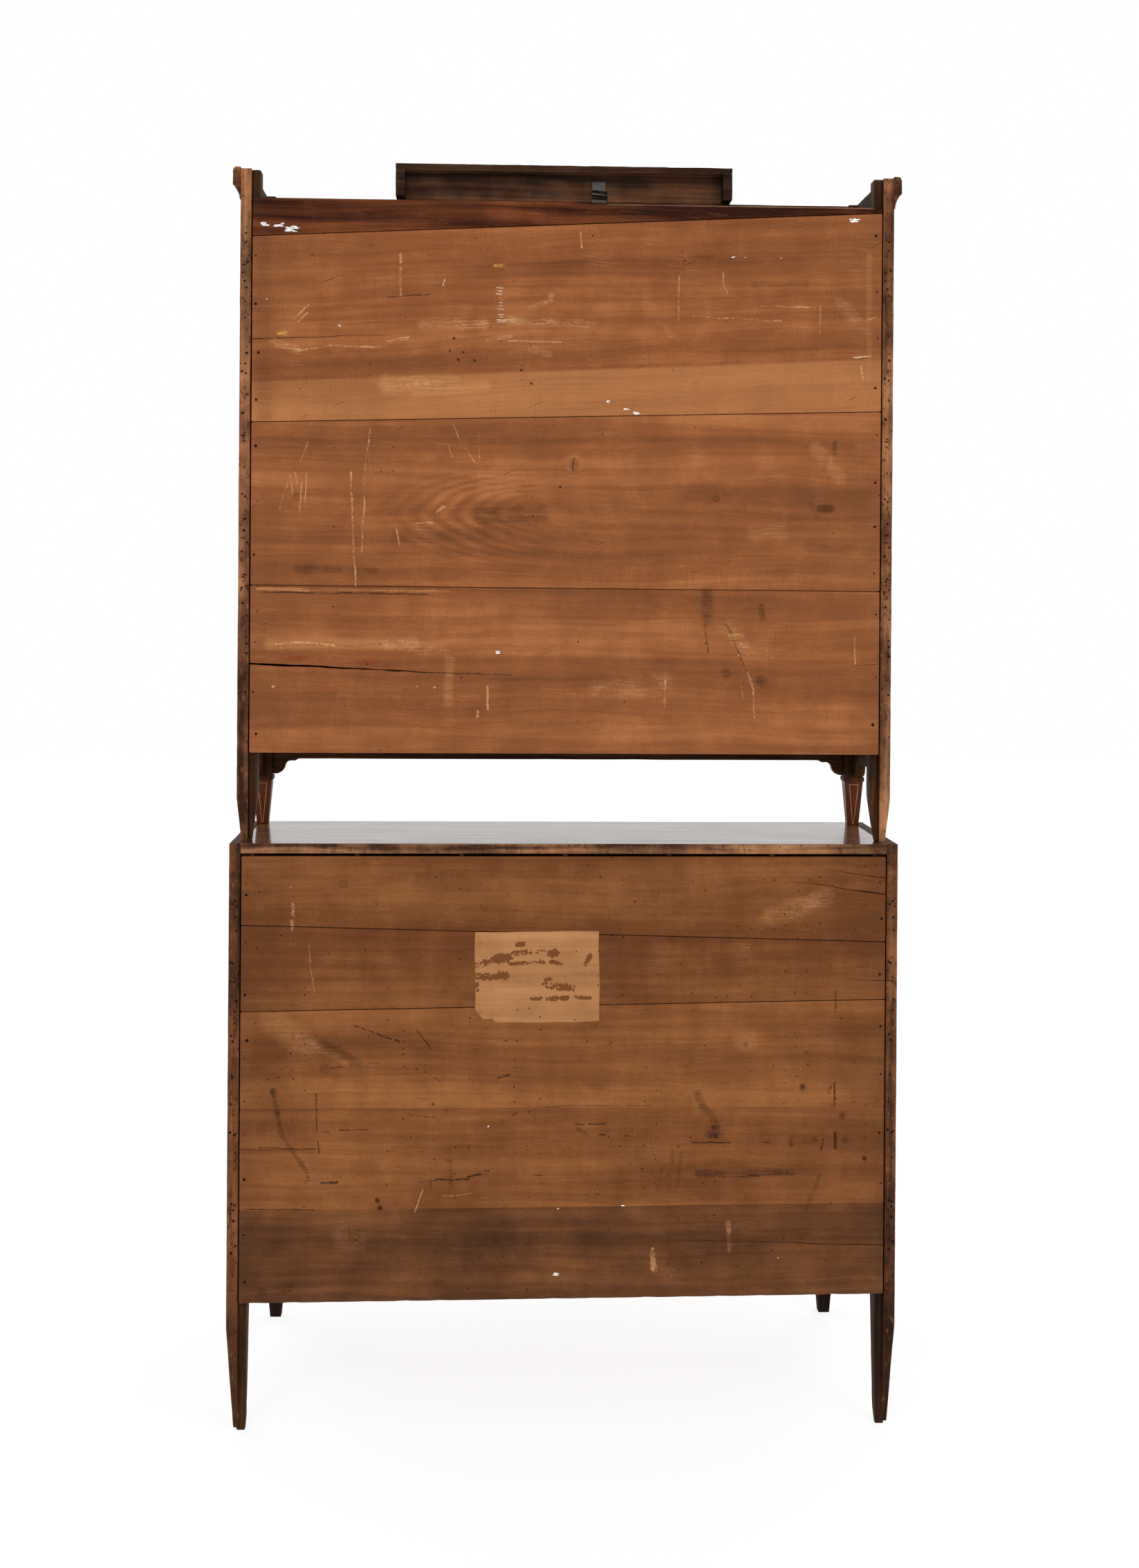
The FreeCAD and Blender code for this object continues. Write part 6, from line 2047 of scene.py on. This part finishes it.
PAPER_MARKS = [
    *chain(Tone.BOARD, 19, 0.74, (687, 1395), (705, 1391), (722, 1387), (738, 1384)),
    *(Mark(Tone.BOARD, (x, y), (x + long, y + rise), width, 0.7) for x, y, long, rise, width in (
        (742, 1380, 26, -4, 16), (748, 1366, 9, -1, 11), (778, 1377, 8, -2, 12), (796, 1378, 8, -1, 16),
        (738, 1393, 48, -2, 9), (796, 1391, 16, 2, 9), (690, 1412, 40, -1, 16), (789, 1425, 37, 3, 19),
        (790, 1419, 6, -2, 14), (768, 1444, 14, -1, 9), (792, 1444, 11, 0, 12), (810, 1444, 10, 0, 11),
        (832, 1442, 20, 2, 8), (852, 1384, -7, 15, 11), (688, 1425, 1, 8, 14))),
]
FLECKS = [
    *(((x, y), size, CABINET_Y) for x, y, size in (
        (383, 323, (11, 7)), (404, 325, (14, 6)), (420, 331, (22, 9)), (1236, 319, (16, 6)),
        (492, 471, (5, 3)), (385, 433, (3, 2)), (1060, 372, (5, 3)), (1078, 372, (3, 2)),
        (1130, 373, (3, 2)), (719, 944, (8, 5)), (878, 581, (10, 3)), (906, 592, (10, 4)),
        (919, 598, (9, 5)))),
    *(((x, y), size, DESK_Y) for x, y, size in (
        (803, 1843, (9, 5)), (706, 1629, (3, 3)), (808, 1748, (3, 3)), (899, 1745, (6, 3)),
        (1126, 1820, (4, 3)))),
]


def main() -> None:
    """Build everything in order."""
    noise.seed_set(EDGE_SEED)
    CAMERA.build()
    Stage().build()
    BackBoards("desk_back_board", [DESK_FOOT, DESK_BACK, DESK_BACK, DESK_DARK, DESK_UPPER], "desk_back",
               DESK_MARKS, DESK_KNOTS, DESK_CRACKS, hearts={}, seed=3, ragged_foot=0.0018,
               tight=(1, 2)).build()
    BackBoards("cabinet_back_board", [CABINET_BACK, CABINET_FIGURED, CABINET_RED, WEDGE], "cabinet_back",
               CABINET_MARKS, CABINET_KNOTS, CABINET_CRACKS, hearts={2: ((860, 745), 0.27)}, seed=11,
               steps={4: (-0.068, 0.0045)}, tilts={3: 0.045},
               zones={3: Zone((368, 552), (1272, 520), (172, 114, 70), 0.8)}).build()
    DeskCase().build()
    CabinetCase().build()
    for name in ("drawer_top", "drawer_middle", "drawer_bottom"):
        LongDrawer(name).build()
    Lid().build()
    Nest().build()
    for side in ("left", "right"):
        Door(side).build()
        StripHoles("desk_side_" + side, count=46, seed=31).build()
        StripHoles("cabinet_side_" + side, count=60, seed=47).build()
    paper = PAPER.dress("torn_paper_face", Axis.X, depth=DESK_Y, marks=PAPER_MARKS)
    FlatRemnant("paper_remnant", PAPER_EDGE, DESK_Y).build(paper, "desk_back", seed=5)
    PaintFlecks(FLECKS).build()


if __name__ == "__main__":
    logging.basicConfig(level=logging.INFO, format="%(message)s")
    main()
